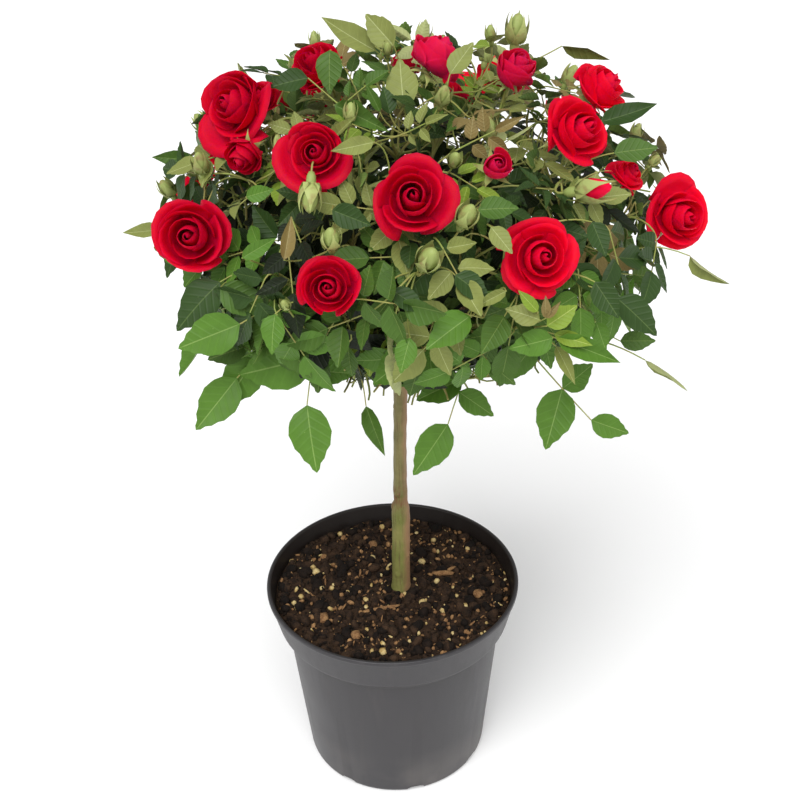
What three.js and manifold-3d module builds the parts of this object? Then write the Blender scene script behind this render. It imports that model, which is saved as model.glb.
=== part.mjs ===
// A miniature rose grown as a standard: one bare stem in a plastic nursery pot, with a round crown
// of leaves and red double blooms on top. Units are millimetres, +Z is up and -Y is the front.
// The origin is the middle of the pot's flat underside.
import * as THREE from "three";
import { mergeVertices } from "three/addons/utils/BufferGeometryUtils.js";
import Module from "manifold-3d";

const wasm = await Module();
wasm.setup();

// Clearance between neighbouring solids that touch on the real plant
const GAP = 0.3;

// The pot: a tapered body under a wider rim band, with drainage channels under its foot
const POT = {
  rimRadius: 65,
  bandFootRadius: 61,
  neckRadius: 55.8,
  footRadius: 48.4,
  height: 107,
  bandHeight: 19.5,
  coveHeight: 4.5,
  footRound: 3,
  lip: 1.8,
  wall: 1.6,
  floor: 5,
  sides: 36,
  channels: 8,
  channelWidth: 9,
  channelHeight: 3,
  channelInnerRadius: 27,
  firstChannelTurn: 11,
  drainRadius: 3,
  drainCircle: 38,
};

// The soil: its level under the rim, and the flat seat that the stem's cut stands on
const SOIL = { level: 99.3, bump: 1.3, seatRadius: 11, rings: 4, seed: 11 };

// The bare stem: its height above the soil, and its radius on the way up
const STEM = {
  footX: 4.3,
  headX: 7,
  sides: 10,
  courses: [
    { rise: 0, radius: 5.6 },
    { rise: 4, radius: 4.8 },
    { rise: 14, radius: 4.55 },
    { rise: 48, radius: 4.5 },
    { rise: 53, radius: 4.1 },
    { rise: 56, radius: 3.3 },
    { rise: 62, radius: 3.6 },
    { rise: 68, radius: 3.2 },
    { rise: 100, radius: 3.25 },
    { rise: 126, radius: 3.5 },
    { rise: 133, radius: 5.6 },
    { rise: 140, radius: 6.2 },
    { rise: 148, radius: 5.6 },
    { rise: 152.5, radius: 3.6 },
  ],
};

// The crown: an oblate round head about a centre to the right of the stem. Every angle is measured
// at the heart, where the boughs part: turn from the front, clockwise from above, and lift from level.
const CROWN = { heart: [7, 0, 248], centre: [18, 0, 306], radius: 112, halfHeight: 76 };

// The boughs. Each one sets out at its turn and rise, and carries one mass of foliage. A mass fills
// the space of the directions that are nearer to its own (at turn and lift) than to any other's.
const BOUGHS = [
  { name: "front", turn: 2, lift: 46, rise: 30, seed: 5 },
  { name: "right", turn: 82, lift: 46, rise: 27, seed: 7 },
  { name: "back_right", turn: 150, lift: 46, rise: 31, seed: 1 },
  { name: "back_left", turn: 218, lift: 46, rise: 29, seed: 8 },
  { name: "left", turn: 281, lift: 46, rise: 32, seed: 2 },
  { name: "top", turn: 80, lift: 84, rise: 84, seed: 9 },
];
const BOUGH = { length: 34, footRadius: 2.7, tipRadius: 2.1, sides: 6, steps: 4, dip: 6 };

// A mass of foliage: the stem inside it, with its branches
const MASS = {
  stemShare: 0.5,
  stemRadius: 2,
  stemTipRadius: 1.5,
  branchSpread: 66,
  branchFirst: 0.2,
  branchLast: 0.96,
  branchBend: 0.45,
  branchSwing: 0.1,
  branchRadius: 1.5,
  branchTipRadius: 1,
  twigRadius: 0.5,
  collar: 2,
  cellMargin: 0.4,
  innerClear: 24,
  limbClear: 2.2,
};

// The branches of the whole crown end at places spread evenly inside its outline from the top down
const BRANCHES = { count: 34, lowestLift: -10, reach: 0.72, jitter: 7, seed: 5 };
const REACH_SPREAD = [0.94, 1.04];

// The leaves sit in shells inside the outline, spread evenly from the top down and shingled outwards
const SHELLS = [
  { count: 188, lowestLift: -14, reach: 0.9, jitter: 4, seed: 7 },
  { count: 92, lowestLift: -16, reach: 0.7, jitter: 6, seed: 8 },
];

// A leaf of three leaflets, larger than life so that fewer of them fill the crown. Between leaflets
// its outline comes in to a notch, and beside the stalk to a heel. Its tip turns a little outward,
// and its face leans up.
const LEAF = {
  length: 28,
  width: 17.5,
  widest: 0.46,
  notch: { angle: 34, out: 2.6 },
  heel: { angle: 150, out: 1.4 },
  sizes: [0.9, 1.1],
  outward: [0.3, 0.6],
  faceUp: 0.35,
  leastOnward: 0.3,
  sideAngle: 68,
  sideShare: 0.82,
  stalkRadius: 0.4,
  thickness: 1.3,
  droop: 4.5,
  fold: 1.5,
  overhang: 20,
  skirtHeight: 223,
};

// A leaf that runs into something is tried again further inward and aside, turned, and smaller
const RETRY = { tries: 16, inward: 0.022, aside: 0.5, turn: 0.15, moreTurn: 0.05, smaller: 0.028 };

// The room that leaves keep free round a bloom, in shares of its width, and how deep a twig sits in it
const BLOOM_ROOM = { behind: 0.1, ahead: 1.6, aside: 0.52, twigDepth: 1.6 };

// Blooms that are open or opening. faceTurn and faceLift say which way each one looks.
const BLOOMS = [
  { turn: -50, lift: 38, reach: 131, across: 31, faceTurn: -6, faceLift: 24 },
  { turn: -78, lift: 60, reach: 133, across: 24, faceTurn: -38, faceLift: 12 },
  { turn: -70, lift: 56, reach: 122, across: 25, faceTurn: -120, faceLift: 62 },
  { turn: -23, lift: 57, reach: 134, across: 33, faceTurn: -8, faceLift: 34 },
  { turn: 2, lift: 48, reach: 136, across: 32, faceTurn: 0, faceLift: 34 },
  { turn: 28, lift: 37, reach: 135, across: 31, faceTurn: 8, faceLift: 27 },
  { turn: -13, lift: 36, reach: 132, across: 26, faceTurn: -4, faceLift: 36 },
  { turn: 79, lift: 28, reach: 137, across: 31, faceTurn: 38, faceLift: 14 },
  { turn: 59, lift: 53, reach: 138, across: 29, faceTurn: 52, faceLift: 38 },
  { turn: 100, lift: 48, reach: 141, across: 22, faceTurn: 110, faceLift: 42 },
  { turn: 55, lift: 83, reach: 132, across: 23, faceTurn: 190, faceLift: 76 },
  { turn: 71, lift: 69, reach: 134, across: 18, faceTurn: 10, faceLift: 74, half: true },
  { turn: 26, lift: 53, reach: 136, across: 14, faceTurn: 10, faceLift: 36, half: true },
  { turn: -78, lift: 76, reach: 131, across: 21, faceTurn: -60, faceLift: 48 },
  { turn: 68, lift: 40, reach: 134, across: 19, faceTurn: 60, faceLift: 50 },
  { turn: 127, lift: 36, reach: 137, across: 30, faceTurn: 127, faceLift: 30 },
  { turn: 160, lift: 38, reach: 133, across: 32, faceTurn: 165, faceLift: 33 },
  { turn: 200, lift: 40, reach: 131, across: 31, faceTurn: 196, faceLift: 36 },
  { turn: 234, lift: 36, reach: 127, across: 27, faceTurn: 238, faceLift: 28 },
  { turn: 262, lift: 35, reach: 122, across: 30, faceTurn: 262, faceLift: 26 },
  { turn: 140, lift: 60, reach: 134, across: 26, faceTurn: 150, faceLift: 55 },
  { turn: 218, lift: 59, reach: 130, across: 29, faceTurn: 225, faceLift: 50 },
  { turn: 170, lift: 79, reach: 129, across: 19, faceTurn: 180, faceLift: 80, half: true },
];

// Closed green buds on their own twigs
const BUDS = [
  { turn: -21, lift: 49, reach: 136, across: 9, faceTurn: -10, faceLift: -30 },
  { turn: -14, lift: 42, reach: 137, across: 8, faceTurn: 0, faceLift: 66 },
  { turn: 5, lift: 39, reach: 137, across: 10, faceTurn: 20, faceLift: 30 },
  { turn: 14, lift: 45, reach: 137, across: 9, faceTurn: 30, faceLift: 46 },
  { turn: 46, lift: 44, reach: 138, across: 12, faceTurn: 70, faceLift: 14 },
  { turn: 92, lift: 70, reach: 138, across: 9, faceTurn: 80, faceLift: 84 },
  { turn: 150, lift: 47, reach: 138, across: 9, faceTurn: 150, faceLift: 40 },
  { turn: 185, lift: 62, reach: 134, across: 9, faceTurn: 190, faceLift: 60 },
  { turn: 250, lift: 46, reach: 128, across: 9, faceTurn: 250, faceLift: 45 },
];

// Long sprays that reach out of the round outline: low ones that hang, and tips at the sides and top
const SPRAYS = [
  { turn: -27, lift: 9, reach: 90, heading: -30, dip: 62, size: 1.1 },
  { turn: -14, lift: 0, reach: 64, heading: 10, dip: 70, size: 0.8 },
  { turn: 16, lift: 6, reach: 80, heading: -60, dip: 55, size: 1.0 },
  { turn: 44, lift: 3, reach: 98, heading: 60, dip: 40, size: 0.95 },
  { turn: -52, lift: 20, reach: 96, heading: -75, dip: 38, size: 1.1 },
  { turn: -72, lift: 26, reach: 96, heading: -80, dip: 20, size: 1.1 },
  { turn: 70, lift: 12, reach: 104, heading: 80, dip: 34, size: 1.1 },
  { turn: 82, lift: 10, reach: 118, heading: 84, dip: 24, size: 0.9 },
  { turn: 112, lift: 42, reach: 122, heading: 96, dip: -18, size: 1.1 },
  { turn: -98, lift: 34, reach: 112, heading: -90, dip: -4, size: 1.0 },
  { turn: -48, lift: 76, reach: 121, heading: -50, dip: -44, size: 1.1 },
  { turn: 20, lift: 77, reach: 122, heading: 15, dip: -52, size: 1.05 },
  { turn: 126, lift: 8, reach: 96, heading: 130, dip: 45, size: 1.05 },
  { turn: 160, lift: 6, reach: 88, heading: 150, dip: 58, size: 1.1 },
  { turn: 205, lift: 7, reach: 84, heading: 200, dip: 50, size: 1.0 },
  { turn: 248, lift: 8, reach: 82, heading: 252, dip: 55, size: 1.1 },
];

// The colour and roughness of each kind of piece
const FINISH = {
  pot: [0x4a4a4c, 0.5],
  soil: [0x2c1f18, 1],
  stem: [0x7f7f4c, 0.7],
  bough: [0x6a7440, 0.7],
  foliage: [0x3d6b2b, 0.55],
};

const GOLDEN_TURN = 137.508;
const UP = new THREE.Vector3(0, 0, 1);
const heart = new THREE.Vector3(...CROWN.heart);
const centre = new THREE.Vector3(...CROWN.centre);

// Seeded dice, so that every build grows the same plant
function dice(seed) {
  let state = (seed * 2654435761) >>> 0;
  return (low = 0, high = 1) => {
    state = (state + 0x6d2b79f5) >>> 0;
    let t = state;
    t = Math.imul(t ^ (t >>> 15), t | 1);
    t ^= t + Math.imul(t ^ (t >>> 7), t | 61);
    return low + (high - low) * (((t ^ (t >>> 14)) >>> 0) / 4294967296);
  };
}

const radians = (degrees) => (degrees * Math.PI) / 180;

// The unit direction at a turn from the front and a lift from level
function toward(turn, lift) {
  const flat = Math.cos(radians(lift));
  const back = -flat * Math.cos(radians(turn));
  return new THREE.Vector3(flat * Math.sin(radians(turn)), back, Math.sin(radians(lift)));
}

// How far the crown's outline is from the heart in a direction
function crownReach(direction) {
  const size = new THREE.Vector3(CROWN.radius, CROWN.radius, CROWN.halfHeight);
  const step = direction.clone().divide(size);
  const from = heart.clone().sub(centre).divide(size);
  const half = from.dot(step);
  const length = step.lengthSq();
  return (-half + Math.sqrt(half * half - length * (from.lengthSq() - 1))) / length;
}

// A solid from a closed geometry
function solid(geometry) {
  const bare = geometry.index ? geometry.toNonIndexed() : geometry;
  const only = new THREE.BufferGeometry().setAttribute("position", bare.getAttribute("position"));
  const merged = mergeVertices(only, 1e-4);
  const made = new wasm.Mesh({
    numProp: 3,
    vertProperties: merged.attributes.position.array,
    triVerts: new Uint32Array(merged.index.array),
  });
  return new wasm.Manifold(made);
}

// A named mesh from a solid
function part(name, body, [color, roughness]) {
  const mesh = body.getMesh();
  const geometry = new THREE.BufferGeometry();
  geometry.setAttribute("position", new THREE.BufferAttribute(new Float32Array(mesh.vertProperties), 3));
  geometry.setIndex(new THREE.BufferAttribute(new Uint32Array(mesh.triVerts), 1));
  geometry.computeVertexNormals();
  const finish = new THREE.MeshStandardMaterial({ color, roughness, metalness: 0 });
  const made = new THREE.Mesh(geometry, finish);
  made.name = name;
  return made;
}

// A closed solid from corner points and the faces between them
function faceted(points, faces) {
  const geometry = new THREE.BufferGeometry();
  const corners = points.flatMap((p) => [p.x, p.y, p.z]);
  geometry.setAttribute("position", new THREE.Float32BufferAttribute(corners, 3));
  geometry.setIndex(faces.flat());
  return solid(geometry);
}

// A tapering limb along a line of points, with a flat end across each end of the line
function limb(points, radii, sides) {
  const rings = [];
  let across = null;
  points.forEach((point, i) => {
    const after = points[Math.min(i + 1, points.length - 1)];
    const before = points[Math.max(i - 1, 0)];
    const along = after.clone().sub(before).normalize();
    if (!across) {
      const helper = Math.abs(along.z) > 0.9 ? new THREE.Vector3(1, 0, 0) : UP;
      across = helper.clone();
    }
    across.addScaledVector(along, -across.dot(along)).normalize();
    const other = along.clone().cross(across);
    for (let s = 0; s < sides; s += 1) {
      const angle = (2 * Math.PI * s) / sides;
      const corner = point.clone().addScaledVector(across, radii[i] * Math.cos(angle));
      rings.push(corner.addScaledVector(other, radii[i] * Math.sin(angle)));
    }
  });
  const faces = [];
  for (let i = 0; i + 1 < points.length; i += 1) {
    for (let s = 0; s < sides; s += 1) {
      const a = i * sides + s;
      const b = i * sides + ((s + 1) % sides);
      faces.push([a, b, b + sides], [a, b + sides, a + sides]);
    }
  }
  const last = (points.length - 1) * sides;
  for (let s = 1; s + 1 < sides; s += 1) {
    faces.push([0, s + 1, s], [last, last + s, last + s + 1]);
  }
  return faceted(rings, faces);
}

// Points along a bent line from start to finish that sets out towards bend
function bentLine(start, bend, finish, steps) {
  return new THREE.QuadraticBezierCurve3(start, bend, finish).getPoints(steps);
}

// A turned body about an axis, from rings of a radius and a height, with a point at each end.
// Every other corner of a ring is drawn in by its lobe share.
function turned(base, axis, scale, rings, corners) {
  const spin = new THREE.Quaternion().setFromUnitVectors(UP, axis);
  const place = (x, y, z) =>
    new THREE.Vector3(x, y, z).multiplyScalar(scale).applyQuaternion(spin).add(base);
  const points = [place(0, 0, rings[0].height)];
  const faces = [];
  const middle = rings.slice(1, -1);
  middle.forEach((ring) => {
    for (let c = 0; c < corners; c += 1) {
      const angle = (2 * Math.PI * c) / corners;
      const radius = ring.radius * (c % 2 ? 1 - (ring.lobe ?? 0) : 1);
      points.push(place(radius * Math.cos(angle), radius * Math.sin(angle), ring.height));
    }
  });
  points.push(place(0, 0, rings[rings.length - 1].height));
  const end = points.length - 1;
  for (let c = 0; c < corners; c += 1) {
    const next = (c + 1) % corners;
    faces.push([0, 1 + next, 1 + c]);
    for (let r = 0; r + 1 < middle.length; r += 1) {
      const a = 1 + r * corners + c;
      const b = 1 + r * corners + next;
      faces.push([a, b, b + corners], [a, b + corners, a + corners]);
    }
    faces.push([end, 1 + (middle.length - 1) * corners + c, 1 + (middle.length - 1) * corners + next]);
  }
  return faceted(points, faces);
}

// The pot, turned from its outline, with channels and drain holes cut up into its floor
function makePot() {
  const bandFoot = POT.height - POT.bandHeight;
  const inner = POT.footRadius - POT.wall;
  const outline = [
    [0, 0],
    [POT.footRadius - POT.footRound, 0],
    [POT.footRadius, POT.footRound],
    [POT.neckRadius, bandFoot - POT.coveHeight],
    [POT.bandFootRadius, bandFoot],
    [POT.rimRadius, POT.height - POT.lip],
    [POT.rimRadius - 0.4, POT.height],
    [POT.rimRadius - POT.lip, POT.height],
    [POT.bandFootRadius - POT.wall, bandFoot + 1],
    [POT.neckRadius - POT.wall, bandFoot - POT.coveHeight],
    [inner, POT.floor],
    [0, POT.floor],
  ];
  const profile = outline.map(([r, z]) => new THREE.Vector2(r, z));
  const shell = solid(new THREE.LatheGeometry(profile, POT.sides).rotateX(Math.PI / 2));
  const cuts = [];
  for (let c = 0; c < POT.channels; c += 1) {
    const turn = POT.firstChannelTurn + (360 * c) / POT.channels;
    const length = POT.rimRadius - POT.channelInnerRadius;
    const channel = new THREE.BoxGeometry(POT.channelWidth, length, 2 * POT.channelHeight);
    channel.translate(0, -(POT.channelInnerRadius + length / 2), 0).rotateZ(radians(turn));
    const drain = new THREE.CylinderGeometry(POT.drainRadius, POT.drainRadius, 3 * POT.floor, 8);
    drain.rotateX(Math.PI / 2).translate(0, -POT.drainCircle, 0).rotateZ(radians(turn));
    cuts.push(solid(channel), solid(drain));
  }
  return shell.subtract(wasm.Manifold.union(cuts));
}

// The soil that fills the pot: clear of its wall, lumpy on top, and flat where the stem stands
function makeSoil() {
  const roll = dice(SOIL.seed);
  const bandFoot = POT.height - POT.bandHeight;
  const wallGap = POT.wall + GAP;
  const shoulder = SOIL.level - 2;
  const innerFoot = POT.bandFootRadius - POT.wall;
  const share = (shoulder - bandFoot - 1) / (POT.bandHeight - 1);
  const topRadius = THREE.MathUtils.lerp(innerFoot, POT.rimRadius - POT.lip, share) - GAP;
  const rows = [
    [POT.footRadius - wallGap, POT.floor + GAP],
    [POT.neckRadius - wallGap, bandFoot - POT.coveHeight],
    [POT.bandFootRadius - wallGap, bandFoot + 1],
    [topRadius, shoulder],
  ];
  for (let r = 1; r <= SOIL.rings; r += 1) {
    rows.push([topRadius + ((SOIL.seatRadius - topRadius) * r) / SOIL.rings, SOIL.level]);
  }
  const sides = POT.sides / 2;
  const points = [new THREE.Vector3(0, 0, POT.floor + GAP)];
  const flatSide = Math.cos(Math.PI / POT.sides);
  rows.forEach(([radius, height], r) => {
    const loose = r > 3 && r < rows.length - 1;
    for (let s = 0; s < sides; s += 1) {
      const angle = (2 * Math.PI * s) / sides;
      const bump = loose ? roll(-SOIL.bump, SOIL.bump) : 0;
      const tight = r < 4 ? radius * flatSide : radius;
      points.push(new THREE.Vector3(tight * Math.cos(angle), tight * Math.sin(angle), height + bump));
    }
  });
  points.push(new THREE.Vector3(0, 0, SOIL.level));
  const faces = [];
  const end = points.length - 1;
  for (let s = 0; s < sides; s += 1) {
    const next = (s + 1) % sides;
    faces.push([0, 1 + next, 1 + s]);
    for (let r = 0; r + 1 < rows.length; r += 1) {
      const a = 1 + r * sides + s;
      const b = 1 + r * sides + next;
      faces.push([a, b, b + sides], [a, b + sides, a + sides]);
    }
    faces.push([end, end - sides + s, end - sides + next]);
  }
  return faceted(points, faces);
}

// The stem's centre line and radii, grown outwards by extra
function stemPath(extra) {
  const foot = SOIL.level + GAP;
  const top = STEM.courses[STEM.courses.length - 1].rise;
  const points = STEM.courses.map(({ rise }, i) => {
    const lean = i < 2 ? 0 : rise / top;
    return new THREE.Vector3(STEM.footX + (STEM.headX - STEM.footX) * lean, 0, foot + rise);
  });
  return { points, radii: STEM.courses.map(({ radius }) => radius + extra) };
}

// The boughs' names, directions and lines
function planBoughs() {
  return BOUGHS.map(({ name, turn, lift, rise, seed }) => {
    const onward = toward(turn, rise);
    const sunk = BOUGH.dip * Math.cos(radians(rise));
    const start = heart.clone().add(new THREE.Vector3(0, 0, name === "top" ? 4.5 : -sunk));
    const finish = heart.clone().addScaledVector(onward, BOUGH.length);
    const bend = heart.clone().addScaledVector(onward, BOUGH.length / 2);
    bend.z -= sunk / 4;
    const line = bentLine(start, bend, finish, BOUGH.steps);
    return { name, seed, axis: toward(turn, lift), onward, line };
  });
}

// A bough's tapering limb, grown outwards by extra
function boughLimb(bough, extra) {
  const { footRadius, tipRadius, steps, sides } = BOUGH;
  const radii = bough.line.map((_, i) => THREE.MathUtils.lerp(footRadius, tipRadius, i / steps) + extra);
  return limb(bough.line, radii, sides);
}

// A bough, cut clear of the stem that it grows from
function makeBough(bough, stemRoom) {
  const pieces = boughLimb(bough, 0).subtract(stemRoom).decompose();
  return pieces.sort((a, b) => b.volume() - a.volume())[0];
}

// A leaf: a four-sided stalk from root to knot, where it opens into three pointed leaflets.
// Its corners come as stalk foot, stalk end, then the outline from the left round to the right.
function leafPoints(root, knot, along, face, size) {
  const side = along.clone().cross(face).normalize();
  const onward = knot.clone().sub(root).normalize();
  const across = onward.clone().cross(face).normalize();
  const over = across.clone().cross(onward);
  const r = LEAF.stalkRadius;
  const at = (ahead, right, up) =>
    knot.clone().addScaledVector(along, ahead).addScaledVector(side, right).addScaledVector(face, up);
  const points = [
    root.clone().addScaledVector(across, -r),
    root.clone().addScaledVector(over, r),
    root.clone().addScaledVector(across, r),
    root.clone().addScaledVector(over, -r),
    at(0, 0, LEAF.thickness / 2),
    at(0, 0, -LEAF.thickness / 2),
  ];
  const leaflet = (angle, share) => {
    const length = LEAF.length * size * share;
    const width = LEAF.width * size * share;
    const sin = Math.sin(radians(angle));
    const cos = Math.cos(radians(angle));
    const spot = (out, off, up) => at(out * cos - off * sin, out * sin + off * cos, up);
    return [
      spot(LEAF.widest * length, -width / 2, LEAF.fold * size),
      spot(length, 0, -LEAF.droop * size),
      spot(LEAF.widest * length, width / 2, LEAF.fold * size),
    ];
  };
  const inner = ({ angle, out }, hand) =>
    at(out * Math.cos(radians(hand * angle)), out * Math.sin(radians(hand * angle)), 0);
  points.push(inner(LEAF.heel, -1), ...leaflet(-LEAF.sideAngle, LEAF.sideShare));
  points.push(inner(LEAF.notch, -1), ...leaflet(0, 1), inner(LEAF.notch, 1));
  points.push(...leaflet(LEAF.sideAngle, LEAF.sideShare), inner(LEAF.heel, 1));
  return points;
}

// The faces between a leaf's corners
function leafFaces(count) {
  const [left, top, right, below, over, under] = [0, 1, 2, 3, 4, 5];
  const first = 6;
  const last = count - 1;
  const faces = [
    [left, right, top],
    [left, below, right],
    [left, top, over],
    [left, over, first],
    [top, right, last],
    [top, last, over],
    [right, below, under],
    [right, under, last],
    [below, left, first],
    [below, first, under],
  ];
  for (let i = first; i < last; i += 1) {
    faces.push([over, i + 1, i], [under, i, i + 1]);
  }
  return faces;
}

// The space of one mass: the cone round its bough's direction that no other bough is nearer to,
// inside the crown's outline, clear of every limb and not in front of a bloom
function spaceOf(index, boughs, limbs, blooms) {
  const rivals = boughs.filter((_, i) => i !== index).map((b) => boughs[index].axis.clone().sub(b.axis));
  const wide = CROWN.radius + LEAF.overhang;
  const tall = CROWN.halfHeight + LEAF.overhang;
  const within = (p) => {
    const from = p.clone().sub(centre);
    return Math.hypot(from.x / wide, from.y / wide, from.z / tall) < 1 && p.z > LEAF.skirtHeight;
  };
  const inside = (p) => rivals.every((r) => r.dot(p.clone().sub(heart)) / r.length() > MASS.cellMargin);
  const nearest = new THREE.Vector3();
  const distance = (line, p) => line.closestPointToPoint(p, true, nearest).distanceTo(p);
  const clear = (p) => limbs.every((line) => distance(line, p) > MASS.limbClear);
  const open = (p) =>
    blooms.every((bloom) => {
      const from = p.clone().sub(bloom.place);
      const ahead = from.dot(bloom.facing);
      const off = Math.sqrt(Math.max(0, from.lengthSq() - ahead * ahead));
      const beside = off > BLOOM_ROOM.aside * bloom.across;
      const behind = ahead < -BLOOM_ROOM.behind * bloom.across;
      return behind || beside || ahead > BLOOM_ROOM.ahead * bloom.across;
    });
  const apart = (p) => p.distanceTo(heart) > MASS.innerClear;
  return (p) => inside(p) && within(p) && clear(p) && apart(p) && open(p);
}

// Whether a body runs into any of the bodies already placed
function crosses(body, placed) {
  const box = body.boundingBox();
  const near = placed.filter((other) => {
    const b = other.boundingBox();
    return [0, 1, 2].every((k) => b.min[k] < box.max[k] && box.min[k] < b.max[k]);
  });
  return near.some((other) => !body.intersect(other).isEmpty());
}

// A leaf from its root on a branch, with its knot near a place, moved and turned a little on each
// try until it runs into nothing
function growLeaf(leaves, mass, item) {
  const { room, roll, solids, middle } = mass;
  const stray = () => new THREE.Vector3(roll(-1, 1), roll(-1, 1), roll(-1, 1));
  const obstacles = solids.filter((body) => body !== item.branch);
  for (let t = 0; t < RETRY.tries; t += 1) {
    const knot = item.place.clone().lerp(middle, RETRY.inward * t).addScaledVector(stray(), RETRY.aside * t);
    const onward = knot.clone().sub(item.root).normalize();
    const turn = RETRY.turn + RETRY.moreTurn * t;
    const along = item.heading(knot).addScaledVector(stray(), turn).normalize();
    const short = LEAF.leastOnward - along.dot(onward);
    if (short > 0) along.addScaledVector(onward, short).normalize();
    const out = knot.clone().sub(centre).normalize().addScaledVector(UP, LEAF.faceUp);
    const face = out.addScaledVector(along, -out.dot(along)).normalize();
    const points = leafPoints(item.root, knot, along, face, item.size * (1 - RETRY.smaller * t));
    if (points.slice(4).every(room)) {
      const body = faceted(points, leafFaces(points.length));
      if (!crosses(body, obstacles) && !crosses(body, leaves)) {
        leaves.push(body);
        return;
      }
    }
  }
}

// The outlines of a bloom, a bloom that is half open and a bud, in shares of half their width
const OPEN_BLOOM = [
  { radius: 0, height: -0.66 },
  { radius: 0.62, height: -0.36 },
  { radius: 1.04, height: 0.08, lobe: 0.1 },
  { radius: 0.62, height: 0.34, lobe: 0.1 },
  { radius: 0, height: 0.3 },
];
const HALF_BLOOM = [
  { radius: 0, height: -1.05 },
  { radius: 0.4, height: -0.9 },
  { radius: 0.95, height: -0.2 },
  { radius: 0.98, height: 0.6, lobe: 0.14 },
  { radius: 0.5, height: 0.8 },
  { radius: 0, height: 0.7 },
];
const CLOSED_BUD = [
  { radius: 0, height: -1.1 },
  { radius: 0.6, height: -0.8 },
  { radius: 1, height: 0.1 },
  { radius: 0.5, height: 1.1 },
  { radius: 0, height: 1.9 },
];

// The way that a leaf lies like a shingle: down the crown's outline, with its tip turned outward
function shingled(knot, outward) {
  const out = knot.clone().sub(centre);
  out.z *= CROWN.radius / CROWN.halfHeight;
  out.normalize();
  const level = out.x * out.x + out.y * out.y;
  const down = new THREE.Vector3(out.x * out.z, out.y * out.z, -level).normalize();
  return down.addScaledVector(out, outward);
}

// A mass of foliage: its stem, the twigs that part from it, and the leaves, blooms and buds they carry
function makeMass(index, boughs, limbs, hubs, knots, flowers, sprays) {
  const own = (places) => places.filter((place) => place.home === index);
  const bough = boughs[index];
  const roll = dice(bough.seed);
  const tip = bough.line[bough.line.length - 1];
  const onward = tip.clone().sub(bough.line[bough.line.length - 2]).normalize();
  const foot = tip.clone().addScaledVector(onward, GAP);
  const stemTip = heart.clone().addScaledVector(bough.onward, MASS.stemShare * crownReach(bough.onward));
  const collar = foot.clone().addScaledVector(onward, MASS.collar);
  const stemBody = limb([foot, collar, stemTip], [MASS.stemRadius, MASS.stemRadius, MASS.stemTipRadius], 5);

  // Side branches part from the stem, those that spread widest nearest its foot
  const boughRoom = boughLimb(bough, GAP);
  const branchRadii = [MASS.branchRadius, MASS.branchRadius, MASS.branchTipRadius];
  const branches = own(hubs).map(({ place }) => {
    const spread = THREE.MathUtils.radToDeg(place.clone().sub(heart).angleTo(bough.onward));
    const share = 1 - spread / MASS.branchSpread;
    const root = foot.clone().lerp(stemTip, THREE.MathUtils.clamp(share, MASS.branchFirst, MASS.branchLast));
    const swing = MASS.branchSwing * root.distanceTo(place);
    const bend = root.clone().lerp(place, MASS.branchBend).addScaledVector(bough.onward, swing);
    const body = limb([root, bend, place], branchRadii, 3);
    return { line: new THREE.Line3(bend, place), body, items: [] };
  }).filter(({ body }) => !crosses(body, [boughRoom]));

  // Every flower and leaf goes to the nearest branch, and leaves it in the order that they lie along it
  const items = own(flowers).map((flower) => {
    const inward = flower.shape[0].height * (flower.across / 2) + BLOOM_ROOM.twigDepth;
    return { place: flower.place.clone().addScaledVector(flower.facing, inward), flower };
  });
  own(sprays).forEach(({ place, size, heading, dip }) => {
    items.push({ place, size, heading: () => toward(heading, -dip) });
  });
  own(knots).forEach(({ place }) => {
    const heading = (knot) => shingled(knot, roll(...LEAF.outward));
    items.push({ place, size: roll(...LEAF.sizes), heading });
  });
  const nearest = new THREE.Vector3();
  items.forEach((item) => {
    const distance = ({ line }) =>
      line.closestPointToPoint(item.place, true, nearest).distanceTo(item.place);
    const near = branches.reduce((a, b) => (distance(b) < distance(a) ? b : a));
    near.items.push(item);
  });
  branches.forEach(({ line, body, items: carried }) => {
    const order = (item) => line.closestPointToPointParameter(item.place, false);
    carried.sort((a, b) => order(a) - order(b));
    carried.forEach((item, i) => {
      const share = (i + 0.7) / (carried.length + 0.1);
      Object.assign(item, { branch: body, root: line.at(Math.min(share, 0.98), new THREE.Vector3()) });
    });
  });

  const solids = [stemBody, ...branches.map(({ body }) => body)];
  items.filter(({ flower }) => flower).forEach(({ flower, root, place }) => {
    const corners = flower.shape === CLOSED_BUD ? 5 : 10;
    solids.push(limb([root, place], [MASS.twigRadius, MASS.twigRadius], 3));
    solids.push(turned(flower.place, flower.facing, flower.across / 2, flower.shape, corners));
  });
  const room = spaceOf(index, boughs, limbs, own(flowers));
  const middle = heart.clone().addScaledVector(bough.axis, 0.75 * crownReach(bough.axis));
  const leaves = [];
  const mass = { room, roll, middle, solids: [...solids, boughRoom] };
  items.filter(({ flower }) => !flower).forEach((item) => growLeaf(leaves, mass, item));
  const fused = wasm.Manifold.union([...solids, ...leaves]).decompose();
  return fused.sort((a, b) => b.volume() - a.volume())[0];
}

// A place at a turn, lift and reach from the heart, with the mass whose space it lies in
function settle(spot, boughs) {
  const out = toward(spot.turn, spot.lift);
  const nearness = boughs.map((bough) => bough.axis.dot(out));
  const home = nearness.indexOf(Math.max(...nearness));
  return { ...spot, home, place: heart.clone().addScaledVector(out, spot.reach) };
}

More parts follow.
